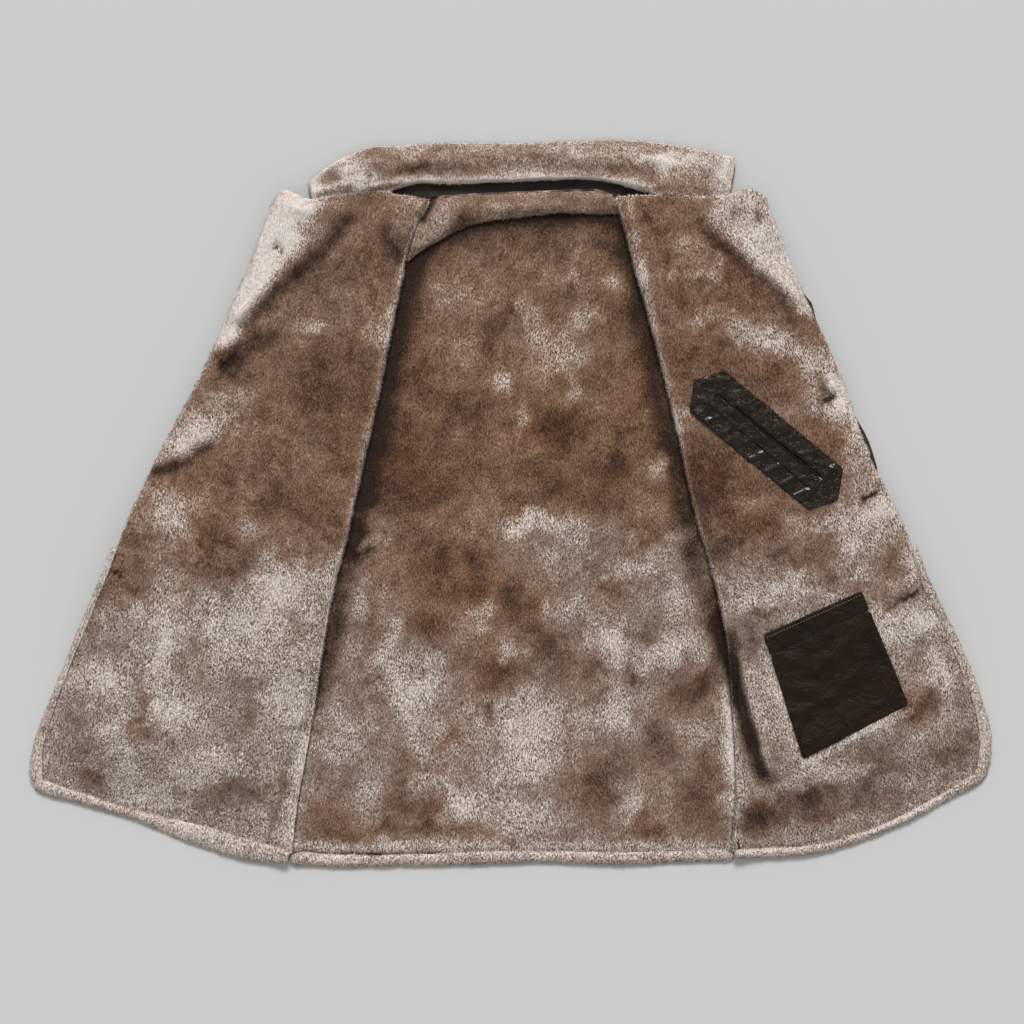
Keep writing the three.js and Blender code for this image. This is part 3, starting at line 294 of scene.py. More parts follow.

# The panels with pile: the imported node, its nap, its bands of even tone, its creases, the tone above
# and below a line that slants across it, how brown the pile is above and below that line, the
# direction the nap lies in, how the tufts are cut, how pale its painted rim light is and how dark its
# painted shade in hollows is, how strongly single hairs stand out, whether its faces are divided once
# more, and its noise's seed.
PANEL_COLUMNS = (
    "name", "node", "patches", "bands", "creases", "upper", "lower", "line", "slant", "warm", "cool",
    "lies", "spacing", "length", "rim", "shade", "speckle", "fine", "seed",
)
PANELS = table(PANEL_COLUMNS, [
    ("back_panel", "back", NAP_BACK, NONE, CREASES_BACK,
     0.33, 0.44, -12, 0, 0.75, 0.3, -98, 1.06, 1, 0.05, 0.6, 1, True, 3),
    ("right_front", "front_right", NAP_RIGHT, LAPEL_RIGHT, CREASES_RIGHT,
     0.38, 0.57, -20, 0.22, 0.58, 0.15, -118, 1, 1, 0.25, 0.3, 1, True, 11),
    ("left_front", "front_left", NAP_LEFT, LAPEL_LEFT, CREASES_LEFT,
     0.36, 0.52, -20, -0.2, 0.64, 0.2, -70, 1, 1, 0.25, 0.3, 1, True, 23),
    ("collar_fall", "collar", NAP_COLLAR, NONE, CREASES_COLLAR,
     0.52, 0.52, 0, 0, 0.45, 0.45, -85, 0.9, 0.9, 0.35, 0.3, 0.6, True, 31),
    ("neck_stand", "collar_stand", NONE, NONE, CREASES_STAND,
     0.44, 0.44, 0, 0, 0.5, 0.5, -60, 0.9, 0.9, 0.1, 0.4, 0.6, True, 37),
    ("back_hem_roll", "hem_roll_back", NONE, NONE, NONE,
     0.66, 0.66, 0, 0, 0.2, 0.2, -90, 0.85, 0.9, 0.1, 0.15, 0.9, False, 41),
    ("right_edge_roll", "edge_roll_right", NONE, NONE, NONE,
     0.78, 0.74, 0, 0, 0.3, 0.2, -120, 0.85, 0.9, 0.12, 0.15, 0.9, False, 43),
    ("left_edge_roll", "edge_roll_left", NONE, NONE, NONE,
     0.78, 0.7, 0, 0, 0.3, 0.2, -60, 0.85, 0.9, 0.12, 0.15, 0.9, False, 47),
])
# The patches' lightness is partly a painted sheen where the nap faces the light, and their darkness partly
# a painted shade where it lies away.
LIGHT_NAP, DARK_NAP = 0.95, 0.66  # how strongly the patches of nap show
# Layers of noise, each with its strength and its size: what bends the patches' outlines, what mottles
# the tone and the rust, the panels' relief, how far the nap swirls (in radians), the tufts' clumps.
BENDS = ((12, 30), (7, 10))
MOTTLING = ((0.07, 55), (0.07, 21), (0.07, 8))
RUST_NOISE = ((0.12, 40),)
RELIEF = ((1.1, 46), (0.8, 17), (0.3, 7))
SWIRLS = ((0.55, 80), (0.5, 28), (0.35, 11))
CLUMPS = ((0.25, 5), (0.35, 2.6))
# Furrows in the nap are painted darker: a painted shade in them.
FURROW_PAINTED_SHADE, FURROW_DEPTH = 0.12, 0.7  # how much darker and deeper the furrows in the nap are
# How much of its own rust a patch gives, and how much a light patch's painted sheen, a band's painted
# sheen and a crease's painted highlight take away.
PATCH_RUST, BRUSHED_RUST, BAND_RUST, CREASE_RUST = 0.6, 0.5, 0.3, 0.9
BAND_FIRMNESS = 4  # how steeply a band of even tone ends
LEAST_CONTRAST, SILVER_CONTRAST = 0.17, 0.34  # how unlike strands are, and how much more in silver
FACES_DOWN = -0.2  # the upward part of a normal, under which a side is leather
PILE_SPLIT = -30  # how far up the back its pile is parted in two pieces
TUFT_ROUNDNESS = 0.45  # how much of its own form a tuft shows in the light
CREASE_WARP = 0.2  # how much of the nap's own waviness a crease has
# How far pile stands out past a panel's sides, and how near another piece is where they are sewn:
# there the pile covers the groove, by standing out to it, and higher.
SWELL, SEAM_REACH, SEAM_SHARE, SEAM_RISE = 0.7, 6, 0.45, 2.6
ROLL_STRETCH, STAND_STRETCH = 2.2, (4, 3, 5)  # how much longer the rolls and the neck stand grow
SLIT = -0.6  # a crease this dark is a slit, in which no pile grows
TONE_PASSAGE, RUST_PASSAGE = 50, 120  # over which a panel's tone and its brown pass into the lower ones
RAY_TILTS = ((0, 1), (35, 6), (65, 6))  # degrees from upright, and how many round
RAY_START = 2.5  # over the surface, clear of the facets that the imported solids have
NOISE_CELLS = 256

shells = {}
ray_trees = {}


def soft_noise(x, y, size, seed):
    """Smooth random numbers from -1 to 1, with features of one size."""
    cells = np.random.default_rng(seed).uniform(-1, 1, (NOISE_CELLS, NOISE_CELLS))
    u, v = x / size, y / size
    i, j = np.floor(u).astype(int), np.floor(v).astype(int)
    s, t = u - i, v - j
    s, t = s * s * (3 - 2 * s), t * t * (3 - 2 * t)
    i, j, i1, j1 = i % NOISE_CELLS, j % NOISE_CELLS, (i + 1) % NOISE_CELLS, (j + 1) % NOISE_CELLS
    near = cells[i, j] * (1 - s) + cells[i1, j] * s
    far = cells[i, j1] * (1 - s) + cells[i1, j1] * s
    return near * (1 - t) + far * t


def layers(x, y, rows, seed):
    """Layers of smooth noise, each with its strength and its size, added up."""
    return sum(strength * soft_noise(x, y, size, seed + i) for i, (strength, size) in enumerate(rows))


def smooth(x, low, high):
    """0 up to a low end, 1 from a high end on, and an even passage between them."""
    t = np.clip((x - low) / (high - low), 0, 1)
    return t * t * (3 - 2 * t)


def linear(hex_colour):
    """An sRGB hex colour as the linear numbers that shaders take."""
    channels = [int(hex_colour[i : i + 2], 16) / 255 for i in (1, 3, 5)]
    return [c / 12.92 if c <= 0.04045 else ((c + 0.055) / 1.055) ** 2.4 for c in channels]


# ------------------------------------------------------------------------------ settings


def colour(name, description, hex_colour):
    return FloatVectorProperty(
        name=name, description=description, default=linear(hex_colour), subtype="COLOR", size=3
    )


def length(name, description, millimetres):
    return FloatProperty(name=name, description=description, default=millimetres / 1000, unit="LENGTH")


class CoatSizes(bpy.types.PropertyGroup):
    tuft_spacing: length("Tuft spacing", "Least distance between two tufts of pile", 1.15)
    tuft_length: length("Tuft length", "Length of a tuft from root to tip", 2.8)
    tuft_width: length("Tuft width", "Width of a tuft at its root", 1)
    tuft_lift: FloatProperty(
        name="Tuft lift", description="Angle of a tuft over the skin", default=math.radians(16),
        subtype="ANGLE",
    )
    tuft_swirl: FloatProperty(
        name="Tuft swirl", description="How far tufts turn from the nap", default=math.radians(32),
        subtype="ANGLE",
    )
    stitch_length: length("Stitch length", "Length of a stitch on the pockets", 2.6)
    stitch_pitch: length("Stitch pitch", "Distance from stitch to stitch", 3.6)
    thread_width: length("Thread width", "Thickness of the sewing thread", 0.8)
    sleeve_wall: length("Sleeve wall", "Thickness of a sleeve's skin and pile", 3)
    smoothness: IntProperty(
        name="Smoothness", description="Subdivisions of a panel", default=2, min=1, max=3
    )


class CoatColours(bpy.types.PropertyGroup):
    # The deep colours are what the painted shade in folds, hollows and slits darkens the pile towards, as
    # well as its darkest strands.
    cool_deep: colour("Silver pile, deep", "Gaps between silvery tips", "#251810")
    cool_dark: colour("Silver pile, dark", "Taupe nap that lies away from the light", "#5c493d")
    cool_mid: colour("Silver pile, middle", "Taupe of the lower pile", "#8b796d")
    cool_light: colour("Silver pile, light", "Brushed nap", "#bdb1a8")
    cool_tip: colour("Silver pile, tips", "Silvery tips", "#ebe1da")
    warm_deep: colour("Brown pile, deep", "Roots of the brown pile", "#27170f")
    warm_dark: colour("Brown pile, dark", "Brown nap that lies away from the light", "#5d3e2a")
    warm_mid: colour("Brown pile, middle", "Brown of the upper pile", "#946d53")
    warm_light: colour("Brown pile, light", "Brushed brown nap", "#c6ab98")
    warm_tip: colour("Brown pile, tips", "Pale tips of the brown pile", "#eadbd0")
    # Each leather's dark colour is painted into the hollows of its folds, a painted shade, and its light
    # colour onto what stands up.
    outer_dark: colour("Outer leather, dark", "Slate brown skin in its creases", "#241f1d")
    outer_light: colour("Outer leather, light", "Slate brown skin where it is worn", "#3f3936")
    leather_dark: colour("Welt leather, dark", "Glazed leather in its creases", "#080604")
    leather_light: colour("Welt leather, light", "Glazed leather where it is worn", "#231a12")
    pocket: colour("Pocket leather", "Matte brown of the patch pocket", "#1f130c")
    pocket_dark: colour("Pocket leather, dark", "Pocket leather in its folds", "#100906")
    thread: colour("Thread", "Beige brown sewing thread", "#8a7257")
    horn: colour("Horn", "Dark brown buttons", "#2a1a11")
    floor: colour("Floor", "Pale grey floor", "#cccccc")


# ------------------------------------------------------------------------------ nodes


def pick(sockets, name):
    """The socket in use with a name, or at a number."""
    if isinstance(name, int):
        return sockets[name]
    return next(s for s in sockets if s.name == name and s.enabled)


def add(tree, kind, inputs=None, **settings):
    """Adds a node with its settings. Inputs are values, or other nodes' sockets to link from."""
    made = tree.nodes.new(kind)
    for name, value in settings.items():
        setattr(made, name, value)
    for name, value in (inputs or {}).items():
        socket = pick(made.inputs, name)
        if isinstance(value, bpy.types.NodeSocket):
            tree.links.new(value, socket)
        else:
            socket.default_value = value
    return made


def new_material(name, **values):
    """A material with one Principled shader, whose plain numbers are set on its own sockets."""
    material = bpy.data.materials.new(name)
    material.use_nodes = True
    tree = material.node_tree
    tree.nodes.clear()
    shader = add(tree, "ShaderNodeBsdfPrincipled", {k.replace("_", " "): v for k, v in values.items()})
    add(tree, "ShaderNodeOutputMaterial", {"Surface": shader.outputs["BSDF"]})
    return material, tree, shader


def maths(tree, operation, *values):
    return add(tree, "ShaderNodeMath", dict(enumerate(values)), operation=operation).outputs[0]


def object_place(tree):
    return add(tree, "ShaderNodeTexCoord").outputs["Object"]


def opaque(rgb):
    return (*rgb, 1)


def ramp(tree, fac, stops):
    """A colour ramp through (place, colour) stops."""
    made = add(tree, "ShaderNodeValToRGB", {"Fac": fac})
    points = made.color_ramp.elements
    while len(points) < len(stops):
        points.new(0.5)
    for point, (place, rgb) in zip(points, stops, strict=True):
        point.position = place
        point.color = opaque(rgb)
    return made.outputs["Color"]


def attribute(tree, name):
    return add(tree, "ShaderNodeAttribute", attribute_name=name).outputs["Fac"]


def pile_colour(tree, shade, c):
    """The pile's colour for a shade from 0 to 1, from silvery taupe to a warm brown."""
    places = (0, 0.22, 0.46, 0.74, 1)
    cool = (c.cool_deep, c.cool_dark, c.cool_mid, c.cool_light, c.cool_tip)
    warm = (c.warm_deep, c.warm_dark, c.warm_mid, c.warm_light, c.warm_tip)
    return add(
        tree, "ShaderNodeMix",
        {"Factor": attribute(tree, "rust"),
         "A": ramp(tree, shade, list(zip(places, cool))), "B": ramp(tree, shade, list(zip(places, warm)))},
        data_type="RGBA",
    ).outputs[2]


def sheared_pile(c):
    """Sheepskin pile, sheared and ironed: soft, with a pale sheen along its tips."""
    material, tree, shader = new_material(
        "Sheepskin pile, sheared", Roughness=0.6, Sheen_Weight=0.15, Sheen_Roughness=0.4,
        Sheen_Tint=opaque(linear("#f3e9e0")), Specular_IOR_Level=0.3,
    )
    tree.links.new(pile_colour(tree, attribute(tree, "shade"), c), shader.inputs["Base Color"])
    return material


def pile_skin(c):
    """The matted foot of the pile, which shows dark between the tufts."""
    material, tree, shader = new_material(
        "Sheepskin pile, matted at its foot", Roughness=0.85, Sheen_Weight=0.08, Sheen_Roughness=0.5,
        Specular_IOR_Level=0.25,
    )
    place = object_place(tree)
    # Strands 1.3 mm wide and 3.2 mm long, bent by waves 12 mm across.
    waves = add(tree, "ShaderNodeTexNoise", {"Vector": place, "Scale": 83.0})
    bent = add(
        tree, "ShaderNodeVectorMath", {0: waves.outputs["Color"], 1: (0.006, 0.006, 0), 2: place},
        operation="MULTIPLY_ADD",
    )
    along = add(tree, "ShaderNodeMapping", {"Vector": bent.outputs[0], "Scale": (770.0, 310.0, 500.0)})
    noise = add(tree, "ShaderNodeTexNoise", {"Vector": along.outputs[0], "Scale": 1.0, "Detail": 1.5})
    strands = noise.outputs["Fac"]
    spread = maths(tree, "MULTIPLY_ADD", strands, 5.0, -2.5)
    held = maths(tree, "MULTIPLY", spread, attribute(tree, "contrast"))
    shade = maths(tree, "ADD", attribute(tree, "shade"), held)
    tree.links.new(pile_colour(tree, shade, c), shader.inputs["Base Color"])
    bump = add(tree, "ShaderNodeBump", {"Height": strands, "Strength": 0.7, "Distance": 0.001})
    tree.links.new(bump.outputs["Normal"], shader.inputs["Normal"])
    return material


def leather(name, dark, light, rough, coat, grain, fold, depth):
    """Finished sheepskin leather: pebbled grain, soft folds, a painted shade in their hollows and a lighter
    tone on what stands up.
    """
    material, tree, shader = new_material(
        name, Coat_Weight=coat, Coat_Roughness=0.1, Specular_IOR_Level=0.22,
        Specular_Tint=opaque(linear("#f3dcc6")),
    )
    place = object_place(tree)
    pebbles = add(
        tree, "ShaderNodeTexVoronoi", {"Vector": place, "Scale": 1000 / grain}, feature="DISTANCE_TO_EDGE"
    )
    noise = add(
        tree, "ShaderNodeTexNoise",
        {"Vector": place, "Scale": 1000 / fold, "Detail": 4.0, "Roughness": 0.6, "Distortion": 0.6},
    )
    folds = noise.outputs["Fac"]
    # The folds' hollows are painted dark, a painted shade, and what stands up is lighter.
    tree.links.new(ramp(tree, folds, [(0.3, dark), (0.72, light)]), shader.inputs["Base Color"])
    # Folds that stand up are a little duller than the hollows.
    tree.links.new(maths(tree, "MULTIPLY_ADD", folds, 0.3, rough - 0.15), shader.inputs["Roughness"])
    coarse = add(tree, "ShaderNodeBump", {"Height": folds, "Strength": 0.9, "Distance": depth})
    fine = add(
        tree, "ShaderNodeBump",
        {"Height": pebbles.outputs["Distance"], "Strength": 0.5, "Distance": 0.0004,
         "Normal": coarse.outputs["Normal"]},
    )
    tree.links.new(fine.outputs["Normal"], shader.inputs["Normal"])
    return material


def sewing_thread(name, tint):
    """Polyester sewing thread, twisted: a little shiny, ribbed along its length."""
    material, tree, shader = new_material(name, Roughness=0.5, Sheen_Weight=0.2)
    twist = add(tree, "ShaderNodeTexNoise", {"Vector": object_place(tree), "Scale": 1600.0})
    shade = ramp(tree, twist.outputs["Fac"], [(0.3, [0.6 * x for x in tint]), (0.7, tint)])
    tree.links.new(shade, shader.inputs["Base Color"])
    return material


def polished_horn(c):
    """Buffalo horn, turned and polished: glossy, with faint streaks."""
    material, tree, shader = new_material(
        "Buffalo horn, polished", Roughness=0.22, Coat_Weight=0.3, IOR=1.55
    )
    streaks = add(
        tree, "ShaderNodeTexWave",
        {"Vector": object_place(tree), "Scale": 90.0, "Distortion": 6.0, "Detail": 3.0},
    )
    shade = ramp(tree, streaks.outputs["Fac"], [(0.2, c.horn), (1, [2 * x for x in c.horn])])
    tree.links.new(shade, shader.inputs["Base Color"])
    return material


materials = {}


def make_materials(c):
    materials.update(
        tufts=sheared_pile(c),
        foot=pile_skin(c),
        leather=leather(
            "Sheepskin leather, finished", c.outer_dark, c.outer_light, 0.5, 0.05, 1.6, 30, 0.003
        ),
        glossy=leather(
            "Sheepskin leather, glazed", c.leather_dark, c.leather_light, 0.24, 0.3, 1.5, 12, 0.005
        ),
        # A near-black matte leather, which stands for the shadow in the welt's opening: a painted shadow.
        edge=leather(
            "Painted shadow, welt opening", c.leather_dark, c.leather_dark, 0.7, 0, 1.5, 14, 0.003
        ),
        pocket=leather("Sheepskin leather, waxed", c.pocket_dark, c.pocket, 0.5, 0.04, 1.4, 22, 0.0045),
        thread=sewing_thread("Polyester thread, beige", c.thread),
        dark_thread=sewing_thread("Polyester thread, black", c.leather_dark),
        horn=polished_horn(c),
    )


# ------------------------------------------------------------------------------ meshes


def points(mesh):
    found = np.empty(len(mesh.vertices) * 3)
    mesh.vertices.foreach_get("co", found)
    return found.reshape(-1, 3) * 1000


def set_points(mesh, places):
    mesh.vertices.foreach_set("co", (places / 1000).ravel())
    mesh.update()


def normals(mesh):
    found = np.empty(len(mesh.vertices) * 3, np.float32)
    mesh.vertices.foreach_get("normal", found)
    return found.reshape(-1, 3).astype(float)


def store(mesh, **fields):
    """Keeps numbers, or vectors, at each vertex under their names."""
    for name, values in fields.items():
        values = np.asarray(values, np.float32)
        kind, field = ("FLOAT", "value") if values.ndim == 1 else ("FLOAT_VECTOR", "vector")
        if name in mesh.attributes:
            mesh.attributes.remove(mesh.attributes[name])
        mesh.attributes.new(name, kind, "POINT").data.foreach_set(field, values.ravel())


def fetch(mesh, name, width=1):
    """What is kept at each vertex under a name: a number, or a vector of some width."""
    found = np.empty(len(mesh.vertices) * width, np.float32)
    mesh.attributes[name].data.foreach_get("value" if width == 1 else "vector", found)
    return found.astype(float) if width == 1 else found.reshape(-1, width).astype(float)


def shade_smooth(mesh):
    mesh.polygons.foreach_set("use_smooth", np.ones(len(mesh.polygons), bool))


def mesh_of(name, body):
    """A finished mesh from an edited one, which it frees."""
    mesh = bpy.data.meshes.new(name)
    body.to_mesh(mesh)
    body.free()
    return mesh


def put(name, mesh, *used):
    """An object at the origin with a finished mesh."""
    made = bpy.data.objects.new(name, mesh)
    bpy.context.scene.collection.objects.link(made)
    if used:
        mesh.materials.clear()
        for material in used:
            mesh.materials.append(material)
    return made


def apply_modifiers(made):
    """Replaces an object's mesh by what its modifiers make of it."""
    graph = bpy.context.evaluated_depsgraph_get()
    graph.update()
    done = bpy.data.meshes.new_from_object(
        made.evaluated_get(graph), preserve_all_data_layers=True, depsgraph=graph
    )
    made.modifiers.clear()
    made.data = done
    return made


def subdivided(made, levels):
    smoothing = made.modifiers.new("Smooth", "SUBSURF")
    smoothing.levels = smoothing.render_levels = levels
    return apply_modifiers(made)


def quads_of(node):
    """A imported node's mesh with its vertices merged and its triangles joined in pairs."""
    body = bmesh.new()
    body.from_mesh(frame["nodes"][node].data)
    bmesh.ops.remove_doubles(body, verts=body.verts, dist=1e-5)
    wide = math.radians(80)
    bmesh.ops.join_triangles(
        body, faces=body.faces, cmp_seam=False, cmp_sharp=False, cmp_uvs=False, cmp_vcols=False,
        cmp_materials=False, angle_face_threshold=wide, angle_shape_threshold=wide,
    )
    for layer in list(body.loops.layers.uv):
        body.loops.layers.uv.remove(layer)
    return mesh_of(node + "_form", body)


def rounded(name, node, levels):
    """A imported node's form with its facets smoothed away."""
    return subdivided(put(name, quads_of(node)), levels)


def tree_of(meshes):
    """Meshes in one tree to cast rays at, in millimetres."""
    places, faces = [], []
    for mesh in meshes:
        start = len(places)
        places += [v.co * 1000 for v in mesh.vertices]
        faces += [[start + i for i in p.vertices] for p in mesh.polygons]
    return BVHTree.FromPolygons(places, faces)


def packed_tree(*nodes):
    """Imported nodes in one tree, which is made once. Without names it holds all of them."""
    if nodes not in ray_trees:
        ray_trees[nodes] = tree_of(frame["nodes"][node].data for node in nodes or frame["nodes"])
    return ray_trees[nodes]


def slot_of(node):
    return next(p["material_slot"] for p in frame["record"]["subparts"] if p["node"] == node)


def sew_on(made, slot):
    """Puts a piece on the coat's one body."""
    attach(made, "root")
    return made


def stand_for(made, node):
    """Puts a piece on the coat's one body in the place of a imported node."""
    shells[made.name] = made
    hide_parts(node)
    return sew_on(made, slot_of(node))


def sewn(node, places, directions):
    """How near each point on a panel's side is to another piece: 1, close, to 0, and the way there."""
    tree = packed_tree(*[name for name in frame["nodes"] if name != node])
    near, way = np.zeros(len(places)), np.zeros(len(places))
    for i, (p, n) in enumerate(zip(places, directions, strict=True)):
        if -0.6 < n[2] < 0.9:
            aside = Vector((n[0], n[1], 0)).normalized()
            distance = tree.ray_cast(Vector(p), aside, SEAM_REACH)[3]
            if distance is not None:
                near[i], way[i] = 1 - distance / SEAM_REACH, distance
    return smooth(near, 0, 0.35), way


def ray_fan():
    rays = []
    for tilt, count in RAY_TILTS:
        t = math.radians(tilt)
        for k in range(count):
            a = math.tau * (k + 0.5) / count
            rays.append(Vector((math.sin(t) * math.cos(a), math.sin(t) * math.sin(a), math.cos(t))))
    return rays


def openness(places, directions):
    """How much of the sky each point sees, from 0, covered, to 1."""
    tree = packed_tree()
    rays = ray_fan()
    weights = [ray.z for ray in rays]
    total = sum(weights)
    found = np.zeros(len(places))
    for i, (p, n) in enumerate(zip(places, directions, strict=True)):
        start, facing = Vector(p + n * RAY_START), Vector(n)
        for ray, weight in zip(rays, weights, strict=True):
            if ray.dot(facing) > -0.2 and tree.ray_cast(start, ray)[0] is None:
                found[i] += weight
    return found / total


def refine(mesh):
    """Divides once more the faces that can be seen from above."""
    tree = packed_tree()
    up = Vector((0, 0, 1))
    body = bmesh.new()
    body.from_mesh(mesh)
    body.faces.ensure_lookup_table()
    edges = set()
    for face in body.faces:
        start = face.calc_center_median() * 1000 + face.normal * RAY_START
        if face.normal.z > 0.1 and tree.ray_cast(start, up)[0] is None:
            edges.update(face.edges)
    bmesh.ops.subdivide_edges(body, edges=list(edges), cuts=1, use_grid_fill=True)
    body.to_mesh(mesh)
    body.free()


def near_path(path, x, y, width, power=2):
    """1 on a path through points, fading to 0 over a width beside it, the firmer the higher its power."""
    nearest = np.full(np.shape(x), 1e9)
    for (x0, y0), (x1, y1) in zip(path, path[1:]):
        dx, dy = x1 - x0, y1 - y0
        held = np.clip(((x - x0) * dx + (y - y0) * dy) / (dx * dx + dy * dy), 0, 1)
        nearest = np.minimum(nearest, np.hypot(x - x0 - held * dx, y - y0 - held * dy))
    return np.exp(-((nearest / width) ** power))


def nap_fields(panel, x, y):
    """A panel's tone and rust at places on it; besides its own tone, the tone holds the painted sheen and
    painted shade of its nap patches, its lapels and its creases.
    """
    seed = panel["seed"]
    wx, wy = x + layers(x, y, BENDS, seed), y + layers(x, y, BENDS, seed + 2)
    line = panel["line"] + panel["slant"] * x
    passed = smooth(wy, line - TONE_PASSAGE / 2, line + TONE_PASSAGE / 2)
    tone = panel["lower"] + (panel["upper"] - panel["lower"]) * passed
    tone = tone + layers(x, y, MOTTLING, seed + 4) - FURROW_PAINTED_SHADE * furrows(panel, x, y)
    passed = smooth(wy, line - RUST_PASSAGE / 2, line + RUST_PASSAGE / 2)
    rust = panel["cool"] + (panel["warm"] - panel["cool"]) * passed
    rust = rust + layers(x, y, RUST_NOISE, seed + 7)
    for row in panel["patches"]:
        turn = math.radians(row["turn"])
        dx, dy = wx - row["x"], wy - row["y"]
        a = (dx * math.cos(turn) + dy * math.sin(turn)) / row["width"]
        b = (dy * math.cos(turn) - dx * math.sin(turn)) / row["height"]
        weight = np.exp(-(a * a + b * b))
        tone = tone + (LIGHT_NAP if row["light"] > 0 else DARK_NAP) * row["light"] * weight
        rust = rust + (PATCH_RUST * row["rust"] - BRUSHED_RUST * max(row["light"], 0)) * weight
    bent_x, bent_y = x + CREASE_WARP * (wx - x), y + CREASE_WARP * (wy - y)
    for row in panel["bands"]:
        weight = near_path(row["path"], bent_x, bent_y, row["width"], BAND_FIRMNESS)
        tone = tone + (row["tone"] - tone) * weight
        rust = rust - BAND_RUST * weight
    for row in panel["creases"]:
        weight = near_path(row["path"], bent_x, bent_y, row["width"])
        tone, rust = tone + row["light"] * weight, rust - CREASE_RUST * max(row["light"], 0) * weight
    return tone, np.clip(rust, 0, 1)


def furrows(panel, x, y):
    """1 in the short furrows across the nap, where pile parts from pile, and 0 between them."""
    turn = math.radians(panel["lies"])
    along, across = x * math.cos(turn) + y * math.sin(turn), y * math.cos(turn) - x * math.sin(turn)
    along = along + 4 * soft_noise(x, y, 20, panel["seed"] + 14)
    parted = 1 - np.abs(soft_noise(along, across / 2.4, 9, panel["seed"] + 15))
    return parted**7 * smooth(soft_noise(x, y, 34, panel["seed"] + 16), -0.3, 0.5)


def contrast_of(panel, tone):
    """How unlike neighbouring strands are: little in the brown pile, much in the silvery."""
    silver = smooth(tone, 0.38, 0.66) * (1 - 0.6 * smooth(tone, 0.7, 0.95))
    return LEAST_CONTRAST + SILVER_CONTRAST * panel["speckle"] * silver


def nap_direction(panel, x, y, out):
    """Which way the nap lies: down the panel, with swirls, and outward over its edges."""
    angle = math.radians(panel["lies"]) + layers(x, y, SWIRLS, panel["seed"] + 50)
    edge = smooth(np.hypot(out[:, 0], out[:, 1]), 0.35, 0.9)
    nap = np.stack([np.cos(angle), np.sin(angle), np.zeros(len(x))], 1)
    return nap * (1 - edge)[:, None] + out * edge[:, None]


def close_gaps(panel, places):
    """Lengthens the rolls and the neck stand a little, so that pile meets pile at their ends."""
    x, y = places[:, 0], places[:, 1]
    if panel["name"] == "back_hem_roll":
        x += ROLL_STRETCH * np.sign(x) * smooth(np.abs(x), 235, 263)
    elif "edge_roll" in panel["name"]:
        x -= ROLL_STRETCH * np.sign(x) * smooth(-np.abs(x), -300, -268) * smooth(-y, 380, 410)
    elif panel["name"] == "neck_stand":
        right, left, down = STAND_STRETCH
        x -= right * smooth(-x, 70, 115)
        x += left * smooth(x, 90, 120)
        y -= down * smooth(y, 352, 381)


def pressed(panel, x, y):
    """How much a panel's surface rises or falls, and where a slit leaves it bare."""
    rise = layers(x, y, RELIEF, panel["seed"] + 8) - FURROW_DEPTH * furrows(panel, x, y)
    bare = np.zeros(len(x))
    for row in panel["creases"]:
        weight = near_path(row["path"], x, y, row["width"])
        rise = rise + row["rise"] * weight
        if row["light"] <= SLIT:
            bare = np.maximum(bare, weight)
    return rise, bare


def tanned_side(panel, places, out):
    """Which points are leather: those that face down, unless they are pile folded over the back."""
    if "roll" in panel["name"]:
        return np.zeros(len(places), bool)
    tanned = out[:, 2] < FACES_DOWN
    if panel["node"] not in ("back", "collar", "collar_stand"):
        back = packed_tree("back")
        above, down = Vector((0, 0, 100)), Vector((0, 0, -1))
        tanned &= [back.ray_cast(above + Vector((x, y, 0)), down)[0] is None for x, y in places[:, :2]]
    return tanned


def pile_panel(panel, sizes):
    """One panel: its smoothed form with creases pressed in, and what its pile needs to know."""
    made = rounded(panel["name"], panel["node"], sizes.smoothness)
    mesh, seed = made.data, panel["seed"]
    if panel["fine"]:
        refine(mesh)
    places, out = points(mesh), normals(mesh)
    close_gaps(panel, places)
    x, y = places[:, 0].copy(), places[:, 1].copy()
    open_sky = openness(places, out)
    at_seam, way = sewn(panel["node"], places, out)
    at_seam = at_seam * np.clip(0.85 + 0.5 * soft_noise(x, y, 12, seed + 17), 0.2, 1)
    rise, bare = pressed(panel, x, y)
    places[:, 2] += rise * smooth(out[:, 2], 0.2, 0.7) * smooth(open_sky, 0.05, 0.3)
    swell = SWELL * (1 + 0.9 * soft_noise(x, y, 9, seed + 13)) + SEAM_SHARE * way * at_seam
    places[:, :2] += swell[:, None] * out[:, :2]
    places[:, 2] += SEAM_RISE * at_seam * smooth(out[:, 2], -0.2, 0.3) * (1 - out[:, 2])
    set_points(mesh, places)
    store(mesh, skin_normal=normals(mesh))

    tone, rust = nap_fields(panel, x, y)
    # A painted rim light where the surface turns over its edges, and a painted shade where the sky is
    # covered: patchy, and weaker where pile meets pile at a seam.
    rim = smooth(1 - out[:, 2], 0.04, 0.5) * smooth(out[:, 2], -0.4, 0.1)
    patchy_shade = np.clip(0.5 + 1.3 * soft_noise(x, y, 13, seed + 12), 0, 1.3)
    bias = panel["rim"] * rim - panel["shade"] * (1 - open_sky) * patchy_shade * (1 - 0.8 * at_seam)
    tone = tone + bias
    tanned = tanned_side(panel, places, out)
    shown = np.maximum(smooth(open_sky, 0.02, 0.14), at_seam)
    store(
        mesh, shade=tone, contrast=contrast_of(panel, tone), rust=rust, bias=bias,
        pile=np.where(tanned, 0, shown * (1 - bare)), nap=nap_direction(panel, x, y, out),
        lift=1 - smooth(out[:, 2], 0.3, 0.95),
    )
    mesh.materials.clear()
    for material in (materials["foot"], materials["leather"]):
        mesh.materials.append(material)
    under = [int(tanned[list(face.vertices)].all()) for face in mesh.polygons]
    mesh.polygons.foreach_set("material_index", under)
    shade_smooth(mesh)
    return stand_for(made, panel["node"])


# ------------------------------------------------------------------------------ pile


def socket(tree, name, kind, in_out="INPUT"):
    return tree.interface.new_socket(name, in_out=in_out, socket_type="NodeSocket" + kind)


